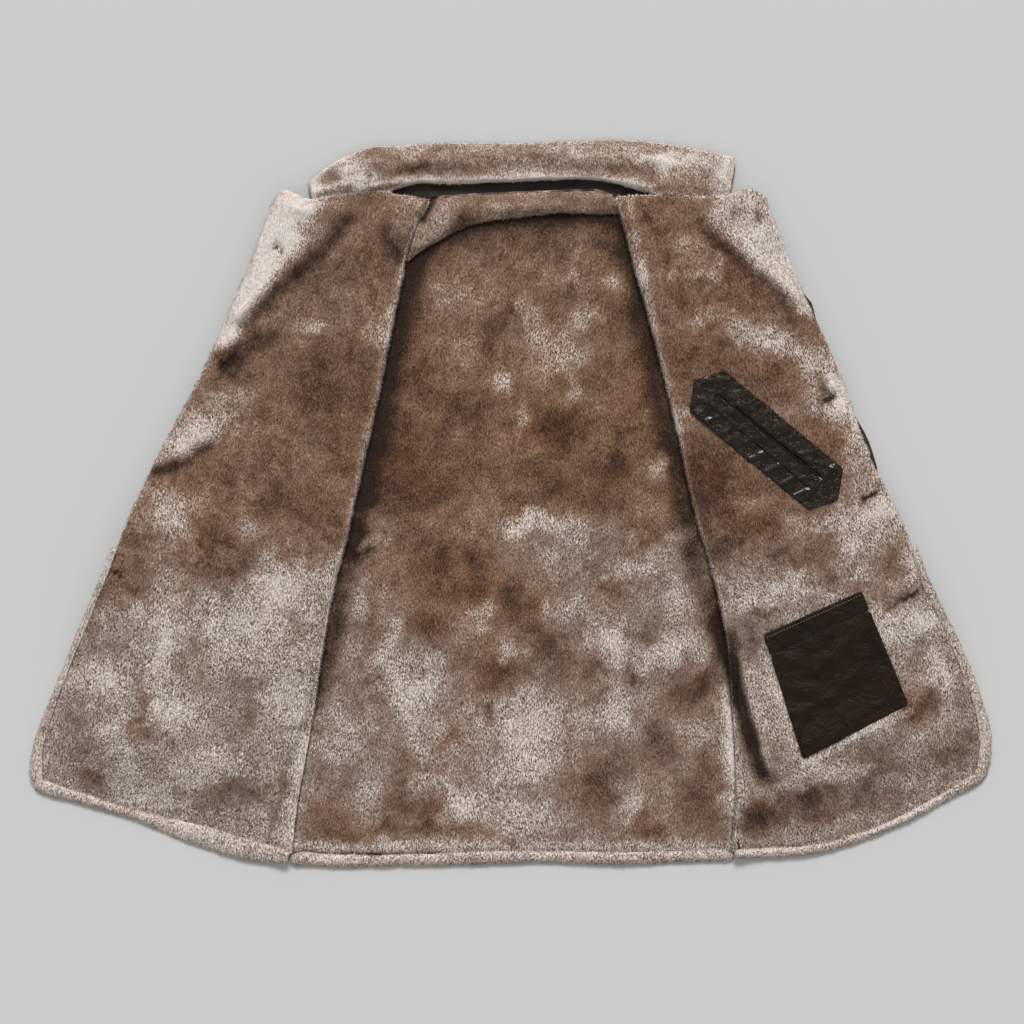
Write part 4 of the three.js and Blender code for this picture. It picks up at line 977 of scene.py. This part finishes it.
def named(tree, name, kind):
    made = add(tree, "GeometryNodeInputNamedAttribute", {"Name": name}, data_type=kind)
    return pick(made.outputs, "Attribute")


def keep(tree, geometry, name, kind, value, domain):
    """Stores a value on geometry under a name."""
    made = add(
        tree, "GeometryNodeStoreNamedAttribute", {"Geometry": geometry, "Name": name},
        data_type=kind, domain=domain,
    )
    tree.links.new(value, pick(made.inputs, "Value"))
    return made.outputs["Geometry"]


def random_value(tree, low, high, seed, number):
    """A random number for each tuft, drawn from the seed by its own number."""
    mixed = maths(tree, "ADD", seed, float(number))
    made = add(
        tree, "FunctionNodeRandomValue", {"Min": low, "Max": high, "Seed": mixed}, data_type="FLOAT"
    )
    return pick(made.outputs, "Value")


EDGE_LIFT = 0.55  # how much farther tufts stand up where a panel's surface turns down, in radians
RADIUS_OF_WIDTH = 0.577  # of a three-sided tuft, to its width


def tuft_tree():
    """Tufts of pile on a skin: slim three-sided spikes that lie along the nap."""
    tree = bpy.data.node_groups.new("Tufts of pile", "GeometryNodeTree")
    socket(tree, "Geometry", "Geometry", "OUTPUT")
    for name, kind in (
        ("Skin", "Geometry"), ("Spacing", "Float"), ("Length", "Float"), ("Width", "Float"),
        ("Lift", "Float"), ("Swirl", "Float"), ("Seed", "Int"), ("Material", "Material"),
    ):
        socket(tree, name, kind)
    given = add(tree, "NodeGroupInput").outputs
    scatter = add(
        tree, "GeometryNodeDistributePointsOnFaces",
        {"Mesh": given["Skin"], "Distance Min": given["Spacing"], "Density Max": 4e5,
         "Density Factor": named(tree, "pile", "FLOAT"), "Seed": given["Seed"]},
        distribute_method="POISSON",
    )
    on_skin = add(
        tree, "FunctionNodeAlignRotationToVector", {"Vector": scatter.outputs["Normal"]}, axis="Z"
    )
    along_nap = add(
        tree, "FunctionNodeAlignRotationToVector",
        {"Rotation": on_skin.outputs[0], "Vector": named(tree, "nap", "FLOAT_VECTOR")},
        axis="X", pivot_axis="Z",
    )
    seed = given["Seed"]
    other_way = maths(tree, "MULTIPLY", given["Swirl"], -1.0)
    turned = random_value(tree, other_way, given["Swirl"], seed, 1)
    standing = maths(tree, "MULTIPLY", named(tree, "lift", "FLOAT"), EDGE_LIFT)
    lifted = maths(tree, "MULTIPLY", given["Lift"], random_value(tree, 0.4, 1.7, seed, 2))
    from_upright = maths(tree, "SUBTRACT", math.pi / 2, maths(tree, "ADD", lifted, standing))
    lean = add(tree, "ShaderNodeCombineXYZ", {"X": 0.0, "Y": from_upright, "Z": 0.0})
    twist = add(tree, "ShaderNodeCombineXYZ", {"Z": turned})
    rotation = along_nap.outputs[0]
    for by in (twist, lean):
        euler = add(tree, "FunctionNodeEulerToRotation", {"Euler": by.outputs[0]})
        rotation = add(
            tree, "FunctionNodeRotateRotation", {"Rotation": rotation, "Rotate By": euler.outputs[0]},
            rotation_space="LOCAL",
        ).outputs[0]
    radius = maths(tree, "MULTIPLY", given["Width"], RADIUS_OF_WIDTH)
    spike = add(
        tree, "GeometryNodeMeshCone",
        {"Vertices": 3, "Radius Top": 0.0, "Radius Bottom": radius, "Depth": given["Length"]},
        fill_type="NONE",
    )
    height = add(tree, "ShaderNodeSeparateXYZ", {0: add(tree, "GeometryNodeInputPosition").outputs[0]})
    share = maths(tree, "DIVIDE", height.outputs["Z"], given["Length"])
    spike_mesh = keep(tree, spike.outputs["Mesh"], "along", "FLOAT", share, "POINT")
    scale = random_value(tree, 0.6, 1.25, seed, 3)
    tufts = add(
        tree, "GeometryNodeInstanceOnPoints",
        {"Points": scatter.outputs["Points"], "Instance": spike_mesh, "Rotation": rotation, "Scale": scale},
    ).outputs[0]
    place = add(tree, "GeometryNodeInputPosition").outputs[0]
    tufts = keep(tree, tufts, "root", "FLOAT_VECTOR", place, "INSTANCE")
    tufts = keep(tree, tufts, "chance", "FLOAT", random_value(tree, 0.0, 1.0, seed, 4), "INSTANCE")
    real = add(tree, "GeometryNodeRealizeInstances", {"Geometry": tufts})
    coloured = add(
        tree, "GeometryNodeSetMaterial", {"Geometry": real.outputs[0], "Material": given["Material"]}
    )
    add(tree, "NodeGroupOutput", {"Geometry": coloured.outputs[0]})
    return tree


def run_tree(made, tree, **values):
    """Gives an object what a tree makes of it, as a plain mesh."""
    modifier = made.modifiers.new(tree.name, "NODES")
    modifier.node_group = tree
    for item in tree.interface.items_tree:
        if item.item_type == "SOCKET" and item.in_out == "INPUT" and item.name in values:
            modifier[item.identifier] = values[item.name]
    return apply_modifiers(made)


def grow_pile(panel, sizes, tree, name, low, high):
    """The tufts of a panel between two heights on it, coloured by the nap where each has its root."""
    made = put(name, shells[panel["name"]].data.copy())
    y = points(made.data)[:, 1]
    store(made.data, pile=fetch(made.data, "pile") * ((y > low) & (y <= high)))
    run_tree(
        made, tree, Spacing=sizes.tuft_spacing * panel["spacing"],
        Length=sizes.tuft_length * panel["length"], Width=sizes.tuft_width, Lift=sizes.tuft_lift,
        Swirl=sizes.tuft_swirl, Seed=panel["seed"], Material=materials["tufts"],
    )
    mesh = made.data
    root, chance, along = fetch(mesh, "root", 3) * 1000, fetch(mesh, "chance"), fetch(mesh, "along")
    x, y = root[:, 0], root[:, 1]
    tone, rust = nap_fields(panel, x, y)
    # Each tuft takes the painted rim light and painted shade of the skin under it.
    tone = np.clip(tone + fetch(mesh, "bias"), 0, 1.1)
    facing = fetch(mesh, "skin_normal", 3) + TUFT_ROUNDNESS * normals(mesh)
    shade_smooth(mesh)
    mesh.normals_split_custom_set_from_vertices(facing / np.linalg.norm(facing, axis=1)[:, None])
    unlike = (chance - 0.5) * 2 + layers(x, y, CLUMPS, panel["seed"] + 20) + (along - 0.4) * 1.2
    store(mesh, shade=np.clip(tone + contrast_of(panel, tone) * unlike, 0.02, 1), rust=rust)
    for spent in ("root", "chance", "along", "bias", "contrast", "skin_normal", "pile", "nap", "lift"):
        if spent in mesh.attributes:
            mesh.attributes.remove(mesh.attributes[spent])
    map_from_above(mesh)
    return sew_on(made, slot_of(panel["node"]))


def map_from_above(mesh):
    """A UV map that is the panel seen from above."""
    places = points(mesh)[:, :2]
    low, high = places.min(0), places.max(0)
    corners = np.empty(len(mesh.loops), int)
    mesh.loops.foreach_get("vertex_index", corners)
    while mesh.uv_layers:
        mesh.uv_layers.remove(mesh.uv_layers[0])
    uv = ((places - low) / (high - low))[corners]
    mesh.uv_layers.new(name="OFBake").uv.foreach_set("vector", uv.astype(np.float32).ravel())


# ------------------------------------------------------------------------------ leather parts

# The welt patch lies turned on the left front, about its own middle; its corners, its slit and
# the stitched box round the slit are along it and across it.
WELT = {"x": 303, "y": 74, "turn": -39.5}
WELT_OUTLINE = ((-89, -28), (-105, 0), (-89, 28), (89, 28), (105, 0), (89, -28))
WELT_BOX = ((-77, -24), (-77, 7), (79, 7), (79, -24), (-77, -24))
WELT_SLIT = ((-76, 5.4), (78, 5.4))
POCKET_EDGE = ((304, -159), (413.5, -109.5))
BAND_SEAM = ((311, -178.5), (421, -128))
# Buttonholes in the left front: the inner and the outer end.
BUTTONHOLES = (
    (369, 122, 384, 130), (420, 6, 435, 13), (470, -111, 484, -104),
)
SLIT_WIDTH, WELT_SLIT_WIDTH, SLIT_THICKNESS, SLIT_RISE = 2.4, 2, 0.8, 0.3
SLIT_STEPS, SLIT_STEP = 14, 3  # the fewest steps along a slit, and the longest step
SEAM_STEP, THREAD_RISE = 2, 0.15  # a step along a seam, and a thread's middle over the leather
# The leather parts: how finely each is cut, how deep its folds are and over what size, its creases.
LEATHER_COLUMNS = ("name", "node", "material", "cuts", "folds", "fold_size", "creases")
LEATHERS = table(LEATHER_COLUMNS, [
    ("welt_pocket", "welt_patch", "glossy", 3, 0.6, 22, table(CREASE_COLUMNS, [
        (((228, 146), (262, 148)), 3, 1, 0), (((212, 118), (232, 96)), 3.4, 1.4, 0),
        (((247, 113), (276, 118)), 2.5, 1.3, 0), (((222, 124), (244, 118)), 2.7, 1.9, 0),
        (((232, 98), (250, 104)), 2.5, 1.7, 0), (((250, 84), (268, 92)), 2.7, 1.6, 0),
        (((270, 68), (286, 78)), 2.5, 1.4, 0), (((282, 52), (300, 60)), 2.9, 1.7, 0),
        (((300, 36), (318, 46)), 2.7, 1.9, 0), (((316, 20), (338, 32)), 2.9, 2, 0),
        (((334, 8), (352, 16)), 2.5, 1.6, 0), (((352, 52), (386, 40)), 2.5, 1.7, 0),
        (((345, 4), (384, 44)), 3, 1.7, 0), (((318, 64), (338, 46)), 2.5, -1.2, 0),
        (((262, 126), (280, 108)), 3.4, 1.4, 0), (((340, 58), (356, 62)), 2.5, 1.4, 0),
        (((244, 128), (368, 30)), 2.5, -2.2, 0),
    ])),
    ("welt_opening", "welt_lip", "glossy", 3, 0.5, 15, table(CREASE_COLUMNS, [
        (((262, 104), (254, 94)), 3, -0.5, 0), (((300, 76), (290, 62)), 3, 0.5, 0),
        (((251, 121), (293, 86)), 1.6, 0.8, 0),
        (((344, 40), (336, 26)), 3, 0.5, 0),
    ])),
    ("pocket_bag", "patch_pocket", "pocket", 3, 1.1, 34, table(CREASE_COLUMNS, [
        (((304, -176), (340, -190)), 4, 1, 0), (((312, -200), (342, -196)), 4, -0.9, 0),
        (((316, -216), (352, -222)), 4, 0.9, 0),
        (((322, -232), (360, -236)), 5, -0.9, 0), (((330, -250), (380, -232)), 5, 1, 0),
        (((380, -232), (412, -196)), 6, 1, 0),
        (((345, -262), (420, -214)), 8, -1.1, 0), (((420, -214), (438, -186)), 7, -0.9, 0),
        (((400, -262), (452, -228)), 8, 0.9, 0),
        (((336, -262), (350, -290)), 5, 0.9, 0), (((362, -200), (400, -168)), 7, 0.8, 0),
        (((352, -282), (440, -262)), 8, 0.8, 0),
    ])),
    ("pocket_band", "patch_pocket_band", "pocket", 3, 0.35, 30, []),
    ("collar_leather", "under_collar", "leather", 1, 0.5, 30, []),
])
FOLD_SEED = 61
SLEEVE_STATIONS, SLEEVE_RING = 60, 48
# A sleeve's middle line: how far out it starts, how much farther out it ends, how far under the
# node's upper end it starts and over its lower end it stops, and its height.
SLEEVE_OUT, SLEEVE_DRIFT, SLEEVE_TOP, SLEEVE_FOOT, SLEEVE_MIDDLE = 250, 162, 1, 21, 3
CUFF_TURN = 16  # degrees by which a sleeve turns on its way to the cuff
SLEEVE_REACH, SLEEVE_OVER = 300, 50  # farther from the middle line than any side, and than any top
SLEEVE_CROWN = 8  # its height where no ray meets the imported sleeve
SLEEVE_UNDER, SLEEVE_FLOOR = 0.3, 0.2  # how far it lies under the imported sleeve's top, and over the floor
SLEEVE_DEPTH = 7  # over which a wall takes all of the sleeve's height from its inside
# Where the left sleeve shows past the front over it: the height, the half-length, how much more.
PEEKS = ((232, 26, 4), (78, 34, 6.5))


def cut_finely(node, cuts):
    """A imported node's form in small quads that keep its edges."""
    mesh = quads_of(node)
    body = bmesh.new()
    body.from_mesh(mesh)
    bmesh.ops.subdivide_edges(body, edges=body.edges[:], cuts=cuts, use_grid_fill=True)
    body.to_mesh(mesh)
    body.free()
    return mesh


def leather_part(row):
    """A leather part with its folds: soft hollows, and narrow creases between them."""
    made = put(row["name"], cut_finely(row["node"], row["cuts"]), materials[row["material"]])
    mesh = subdivided(made, 1).data
    places, out = points(mesh), normals(mesh)
    x, y = places[:, 0].copy(), places[:, 1].copy()
    size = row["fold_size"]
    ridges = 1 - np.abs(layers(x, y, ((1, size), (0.4, size / 2.4)), FOLD_SEED))
    rise = row["folds"] * (0.45 * soft_noise(x, y, size * 1.4, FOLD_SEED + 2) + 0.5 * ridges**4 - 0.25)
    for crease in row["creases"]:
        rise = rise + crease["rise"] * near_path(crease["path"], x, y, crease["width"])
    places[:, 2] += rise * smooth(out[:, 2], 0.3, 0.9)
    set_points(mesh, places)
    shade_smooth(mesh)
    return stand_for(made, row["node"])


def welt_place(along, across):
    """A place on the coat from one along and across the welt patch."""
    turn = math.radians(WELT["turn"])
    return (
        WELT["x"] + along * math.cos(turn) - across * math.sin(turn),
        WELT["y"] + along * math.sin(turn) + across * math.cos(turn),
    )


def stitch_tree():
    """Stitches along a line: short rounded threads, each sunk at both its ends."""
    tree = bpy.data.node_groups.new("Line of stitches", "GeometryNodeTree")
    socket(tree, "Geometry", "Geometry", "OUTPUT")
    for name, kind in (
        ("Seam", "Geometry"), ("Pitch", "Float"), ("Length", "Float"), ("Thread", "Float"),
        ("Material", "Material"),
    ):
        socket(tree, name, kind)
    given = add(tree, "NodeGroupInput").outputs
    seam = add(tree, "GeometryNodeMeshToCurve", {"Mesh": given["Seam"]})
    places = add(
        tree, "GeometryNodeCurveToPoints", {"Curve": seam.outputs[0], "Length": given["Pitch"]},
        mode="LENGTH",
    )
    thread = add(tree, "GeometryNodeMeshUVSphere", {"Segments": 6, "Rings": 5, "Radius": 0.5})
    size = add(
        tree, "ShaderNodeCombineXYZ", {"X": given["Thread"], "Y": given["Thread"], "Z": given["Length"]}
    )
    stitches = add(
        tree, "GeometryNodeInstanceOnPoints",
        {"Points": places.outputs["Points"], "Instance": thread.outputs["Mesh"],
         "Rotation": places.outputs["Rotation"], "Scale": size.outputs[0]},
    )
    real = add(tree, "GeometryNodeRealizeInstances", {"Geometry": stitches.outputs[0]})
    rounded_off = add(tree, "GeometryNodeSetShadeSmooth", {"Geometry": real.outputs[0]})
    coloured = add(
        tree, "GeometryNodeSetMaterial",
        {"Geometry": rounded_off.outputs[0], "Material": given["Material"]},
    )
    add(tree, "NodeGroupOutput", {"Geometry": coloured.outputs[0]})
    return tree


def top_of(names):
    """A tree of finished pieces, to find the height of what shows."""
    return tree_of(shells[name].data for name in names)


def height_on(tree, x, y):
    hit = tree.ray_cast(Vector((x, y, 200)), Vector((0, 0, -1)))[0]
    if hit is None:
        raise ValueError(f"nothing lies under {x:.0f}, {y:.0f}")
    return hit.z


def seam(name, corners, on, tree, sizes, slot, material="thread"):
    """Stitches through corners, laid on finished pieces."""
    top = top_of(on)
    path = []
    for (x0, y0), (x1, y1) in zip(corners, corners[1:]):
        steps = max(2, round(math.hypot(x1 - x0, y1 - y0) / SEAM_STEP))
        path += [(x0 + (x1 - x0) * k / steps, y0 + (y1 - y0) * k / steps) for k in range(steps)]
    path.append(corners[-1])
    mesh = bpy.data.meshes.new(name)
    mesh.from_pydata(
        [(x / 1000, y / 1000, (height_on(top, x, y) + THREAD_RISE) / 1000) for x, y in path],
        [(k, k + 1) for k in range(len(path) - 1)], [],
    )
    made = put(name, mesh)
    run_tree(
        made, tree, Pitch=sizes.stitch_pitch, Length=sizes.stitch_length, Thread=sizes.thread_width,
        Material=materials[material],
    )
    return sew_on(made, slot)


def join_rings(body, first, second):
    """Faces between two rings of vertices."""
    for i in range(len(first)):
        j = (i + 1) % len(first)
        body.faces.new((first[i], first[j], second[j], second[i]))


def slim_lens(body, top, ends, width):
    """A slim closed lens between two ends, sunk in what lies under it."""
    x0, y0, x1, y1 = ends
    span = math.hypot(x1 - x0, y1 - y0)
    aside, rise = Vector((y0 - y1, x1 - x0, 0)) / span, Vector((0, 0, SLIT_THICKNESS / 2))
    steps = max(SLIT_STEPS, round(span / SLIT_STEP))
    rings = []
    for k in range(steps + 1):
        t = k / steps
        x, y = x0 + (x1 - x0) * t, y0 + (y1 - y0) * t
        middle = Vector((x, y, height_on(top, x, y) + SLIT_RISE))
        half = aside * (width / 2 * min(1, 1.3 * math.sin(math.pi * (0.04 + 0.92 * t))))
        corners = (middle - half, middle - rise, middle + half, middle + rise * 0.2)
        rings.append([body.verts.new(p / 1000) for p in corners])
    for first, second in zip(rings, rings[1:]):
        join_rings(body, first, second)
    body.faces.new(rings[0][::-1])
    body.faces.new(rings[-1])


def cut_slits(name, on, places, width, material, slot):
    """Dark lenses in cut openings: the leather in the buttonholes, and a painted shadow in the welt's
    opening.
    """
    top = top_of(on)
    body = bmesh.new()
    for ends in places:
        slim_lens(body, top, ends, width)
    bmesh.ops.recalc_face_normals(body, faces=body.faces[:])
    return sew_on(put(name, mesh_of(name, body), materials[material]), slot)


def sew_pockets(sizes):
    """The pockets' stitches, and the painted shadow in the welt's opening."""
    tree, slot = stitch_tree(), "pocket_leather"
    welt = [welt_place(*corner) for corner in (*WELT_OUTLINE, WELT_OUTLINE[0])]
    box = [welt_place(*corner) for corner in WELT_BOX]
    mouth = [(*welt_place(*WELT_SLIT[0]), *welt_place(*WELT_SLIT[1]))]
    patch, bag = ["welt_pocket", "welt_opening"], ["pocket_bag", "pocket_band"]
    # A near-black strip along the welt's slit: a painted shadow in its opening.
    cut_slits("welt_slit_shadow", patch, mouth, WELT_SLIT_WIDTH, "edge", slot)
    seam("welt_stitches", welt, patch, tree, sizes, slot, "dark_thread")
    seam("slit_stitches", box, patch, tree, sizes, slot, "dark_thread")
    seam("pocket_edge_stitches", POCKET_EDGE, bag, tree, sizes, slot)
    seam("band_stitches", BAND_SEAM, bag, tree, sizes, slot, "dark_thread")


def sleeve_rings(node):
    """A sleeve's outer form: flattened rings from its armhole to its cuff, its lower half on the floor."""
    tree = packed_tree(node)
    low, high = (corner * 1000 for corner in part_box(node))
    side = 1 if low.x + high.x > 0 else -1
    top, foot = high.y - SLEEVE_TOP, low.y + SLEEVE_FOOT
    rings = []
    for k in range(SLEEVE_STATIONS):
        t = (k + 0.5) / SLEEVE_STATIONS
        turn = math.radians(CUFF_TURN) * side * smooth(t, 0.6, 1)
        across = Vector((math.cos(turn), math.sin(turn), 0))
        middle = Vector((side * (SLEEVE_OUT + SLEEVE_DRIFT * t), top + (foot - top) * t, SLEEVE_MIDDLE))
        near = tree.ray_cast(middle - across * SLEEVE_REACH, across)[0]
        far = tree.ray_cast(middle + across * SLEEVE_REACH, -across)[0]
        if near is None or far is None:
            continue
        if side > 0:
            far.x += sum(more * math.exp(-(((far.y - y) / reach) ** 2)) for y, reach, more in PEEKS)
        ring = []
        for i in range(SLEEVE_RING):
            a = math.tau * i / SLEEVE_RING
            p = near.lerp(far, 0.004 + 0.992 * (0.5 - 0.5 * math.cos(a)))
            down = tree.ray_cast(Vector((p.x, p.y, SLEEVE_OVER)), Vector((0, 0, -1)))[0]
            crown = SLEEVE_CROWN if down is None else down.z
            z = crown - SLEEVE_UNDER if a < math.pi else SLEEVE_FLOOR
            ring.append(Vector((p.x, p.y, z)))
        rings.append(ring)
    return rings


def moved_in(p, middle, wall):
    """A point of a ring, moved towards the ring's middle by a wall's thickness."""
    away = p - middle
    reach = math.hypot(away.x, away.y)
    share = max(0.05, 1 - wall / reach) if reach > wall else 0.6
    return middle + Vector((away.x * share, away.y * share, away.z * max(0.25, 1 - wall / SLEEVE_DEPTH)))


def sleeve_tube(name, node, sizes):
    """A flattened sleeve: one wall of skin that turns in at the open cuff."""
    rings = sleeve_rings(node)
    body = bmesh.new()
    sides = []
    for wall in (0, sizes.sleeve_wall * 1000):
        middles = [sum(ring, Vector()) / len(ring) for ring in rings]
        sides.append([
            [body.verts.new(moved_in(p, middle, wall) / 1000) for p in ring]
            for ring, middle in zip(rings, middles)
        ])
    outer, inner = sides
    ends = ((outer[0], inner[0]), (outer[-1], inner[-1]))
    for first, second in (*zip(outer, outer[1:]), *zip(inner[1:], inner), *ends):
        join_rings(body, first, second)
    bmesh.ops.recalc_face_normals(body, faces=body.faces[:])
    mesh = mesh_of(name, body)
    made = put(name, mesh, materials["leather"], materials["foot"])
    wall_faces = (len(rings) - 1) * SLEEVE_RING
    inside = np.zeros(len(mesh.polygons), int)
    inside[wall_faces : 2 * wall_faces] = 1
    mesh.polygons.foreach_set("material_index", inside)
    shade_smooth(mesh)
    even = np.ones(len(mesh.vertices))
    store(mesh, shade=0.45 * even, rust=0.4 * even, contrast=0.1 * even)
    return stand_for(made, node)


# ------------------------------------------------------------------------------ studio

CAMERA = {"x": 0.0006, "y": -0.0102, "height": 2.5, "lens": 73.2, "sensor": 36}
SUN = {"from_zenith": 42, "spread": 18, "strength": 2.31}
SKY = 0.45
FLOOR_SIZE, FLOOR_DROP = 6, 0.0006


def make_studio(c):
    """A pale grey floor, a broad soft light from the collar's side, and a camera overhead."""
    material, tree, shader = new_material("Painted board, matte", Roughness=0.9, Specular_IOR_Level=0.2)
    tooth = add(tree, "ShaderNodeTexNoise", {"Vector": object_place(tree), "Scale": 400.0})
    bump = add(
        tree, "ShaderNodeBump", {"Height": tooth.outputs["Fac"], "Strength": 0.05, "Distance": 0.0003}
    )
    tree.links.new(bump.outputs["Normal"], shader.inputs["Normal"])
    shader.inputs["Base Color"].default_value = opaque(c.floor)
    mesh = bpy.data.meshes.new("floor")
    corners = ((-1, -1), (1, -1), (1, 1), (-1, 1))
    mesh.from_pydata(
        [(FLOOR_SIZE * x, FLOOR_SIZE * y, -FLOOR_DROP) for x, y in corners], [], [(0, 1, 2, 3)]
    )
    put("floor", mesh, material)

    world = bpy.data.worlds.new("Soft box")
    world.use_nodes = True
    background = world.node_tree.nodes["Background"]
    background.inputs["Color"].default_value = (1, 1, 1, 1)
    background.inputs["Strength"].default_value = SKY
    scene = bpy.context.scene
    scene.world = world
    light = bpy.data.lights.new("window", "SUN")
    light.energy = SUN["strength"]
    light.angle = math.radians(SUN["spread"])
    lamp = bpy.data.objects.new("window", light)
    lamp.rotation_euler = (math.radians(-SUN["from_zenith"]), 0, 0)
    scene.collection.objects.link(lamp)

    camera = bpy.data.cameras.new("overhead")
    camera.lens = CAMERA["lens"]
    camera.sensor_width = CAMERA["sensor"]
    seat = bpy.data.objects.new("overhead", camera)
    seat.location = (CAMERA["x"], CAMERA["y"], CAMERA["height"])
    scene.collection.objects.link(seat)
    scene.camera = seat
    scene.view_settings.view_transform = "Standard"


# ------------------------------------------------------------------------------ operators


class COAT_OT_panels(bpy.types.Operator):
    """Make the coat's panels with their creases and their nap"""

    bl_idname = "coat.panels"
    bl_label = "Panels"

    def execute(self, context):
        make_materials(context.scene.coat_colours)
        for panel in PANELS:
            pile_panel(panel, context.scene.coat_sizes)
        return {"FINISHED"}


class COAT_OT_pile(bpy.types.Operator):
    """Grow the pile on the panels"""

    bl_idname = "coat.pile"
    bl_label = "Pile"

    def execute(self, context):
        tree, sizes = tuft_tree(), context.scene.coat_sizes
        for panel in PANELS:
            name, top = panel["name"], math.inf
            if name == "back_panel":
                top = PILE_SPLIT
                grow_pile(panel, sizes, tree, name + "_top_pile", top, math.inf)
            grow_pile(panel, sizes, tree, name + "_pile", -math.inf, top)
        return {"FINISHED"}


class COAT_OT_leather(bpy.types.Operator):
    """Make the pockets, their stitches, the under collar, the buttonholes and the buttons' finish"""

    bl_idname = "coat.leather"
    bl_label = "Leather parts"

    def execute(self, context):
        for row in LEATHERS:
            leather_part(row)
        sew_pockets(context.scene.coat_sizes)
        cut_slits("buttonholes", ["left_front"], BUTTONHOLES, SLIT_WIDTH, "leather", "outer_leather")
        for node in frame["nodes"]:
            if node.startswith("button_"):
                finish = frame["nodes"][node].data.materials
                finish.clear()
                finish.append(materials["horn"])
        return {"FINISHED"}


class COAT_OT_sleeves(bpy.types.Operator):
    """Make the sleeves, which lie flattened under the fronts"""

    bl_idname = "coat.sleeves"
    bl_label = "Sleeves"

    def execute(self, context):
        for side in ("right", "left"):
            sleeve_tube(f"{side}_sleeve", f"sleeve_{side}", context.scene.coat_sizes)
        return {"FINISHED"}


class COAT_OT_studio(bpy.types.Operator):
    """Add the floor, the light and the camera"""

    bl_idname = "coat.studio"
    bl_label = "Studio"

    def execute(self, context):
        make_studio(context.scene.coat_colours)
        return {"FINISHED"}


class COAT_PT_panel(bpy.types.Panel):
    """The coat's sizes, colours and steps"""

    bl_label = "Shearling coat"
    bl_space_type = "VIEW_3D"
    bl_region_type = "UI"
    bl_category = "Coat"

    def draw(self, context):
        for group in (context.scene.coat_sizes, context.scene.coat_colours):
            for name in group.bl_rna.properties.keys():
                if name not in ("rna_type", "name"):
                    self.layout.prop(group, name)
        for step in STEPS:
            self.layout.operator(step.bl_idname)


STEPS = (COAT_OT_panels, COAT_OT_leather, COAT_OT_sleeves, COAT_OT_pile, COAT_OT_studio)
CLASSES = (CoatSizes, CoatColours, *STEPS, COAT_PT_panel)


def register():
    for kind in CLASSES:
        bpy.utils.register_class(kind)
    bpy.types.Scene.coat_sizes = PointerProperty(type=CoatSizes)
    bpy.types.Scene.coat_colours = PointerProperty(type=CoatColours)


def unregister():
    del bpy.types.Scene.coat_colours
    del bpy.types.Scene.coat_sizes
    for kind in reversed(CLASSES):
        bpy.utils.unregister_class(kind)


def main():
    register()
    for step in STEPS:
        group, name = step.bl_idname.split(".")
        getattr(getattr(bpy.ops, group), name)()


if __name__ == "__main__":
    main()
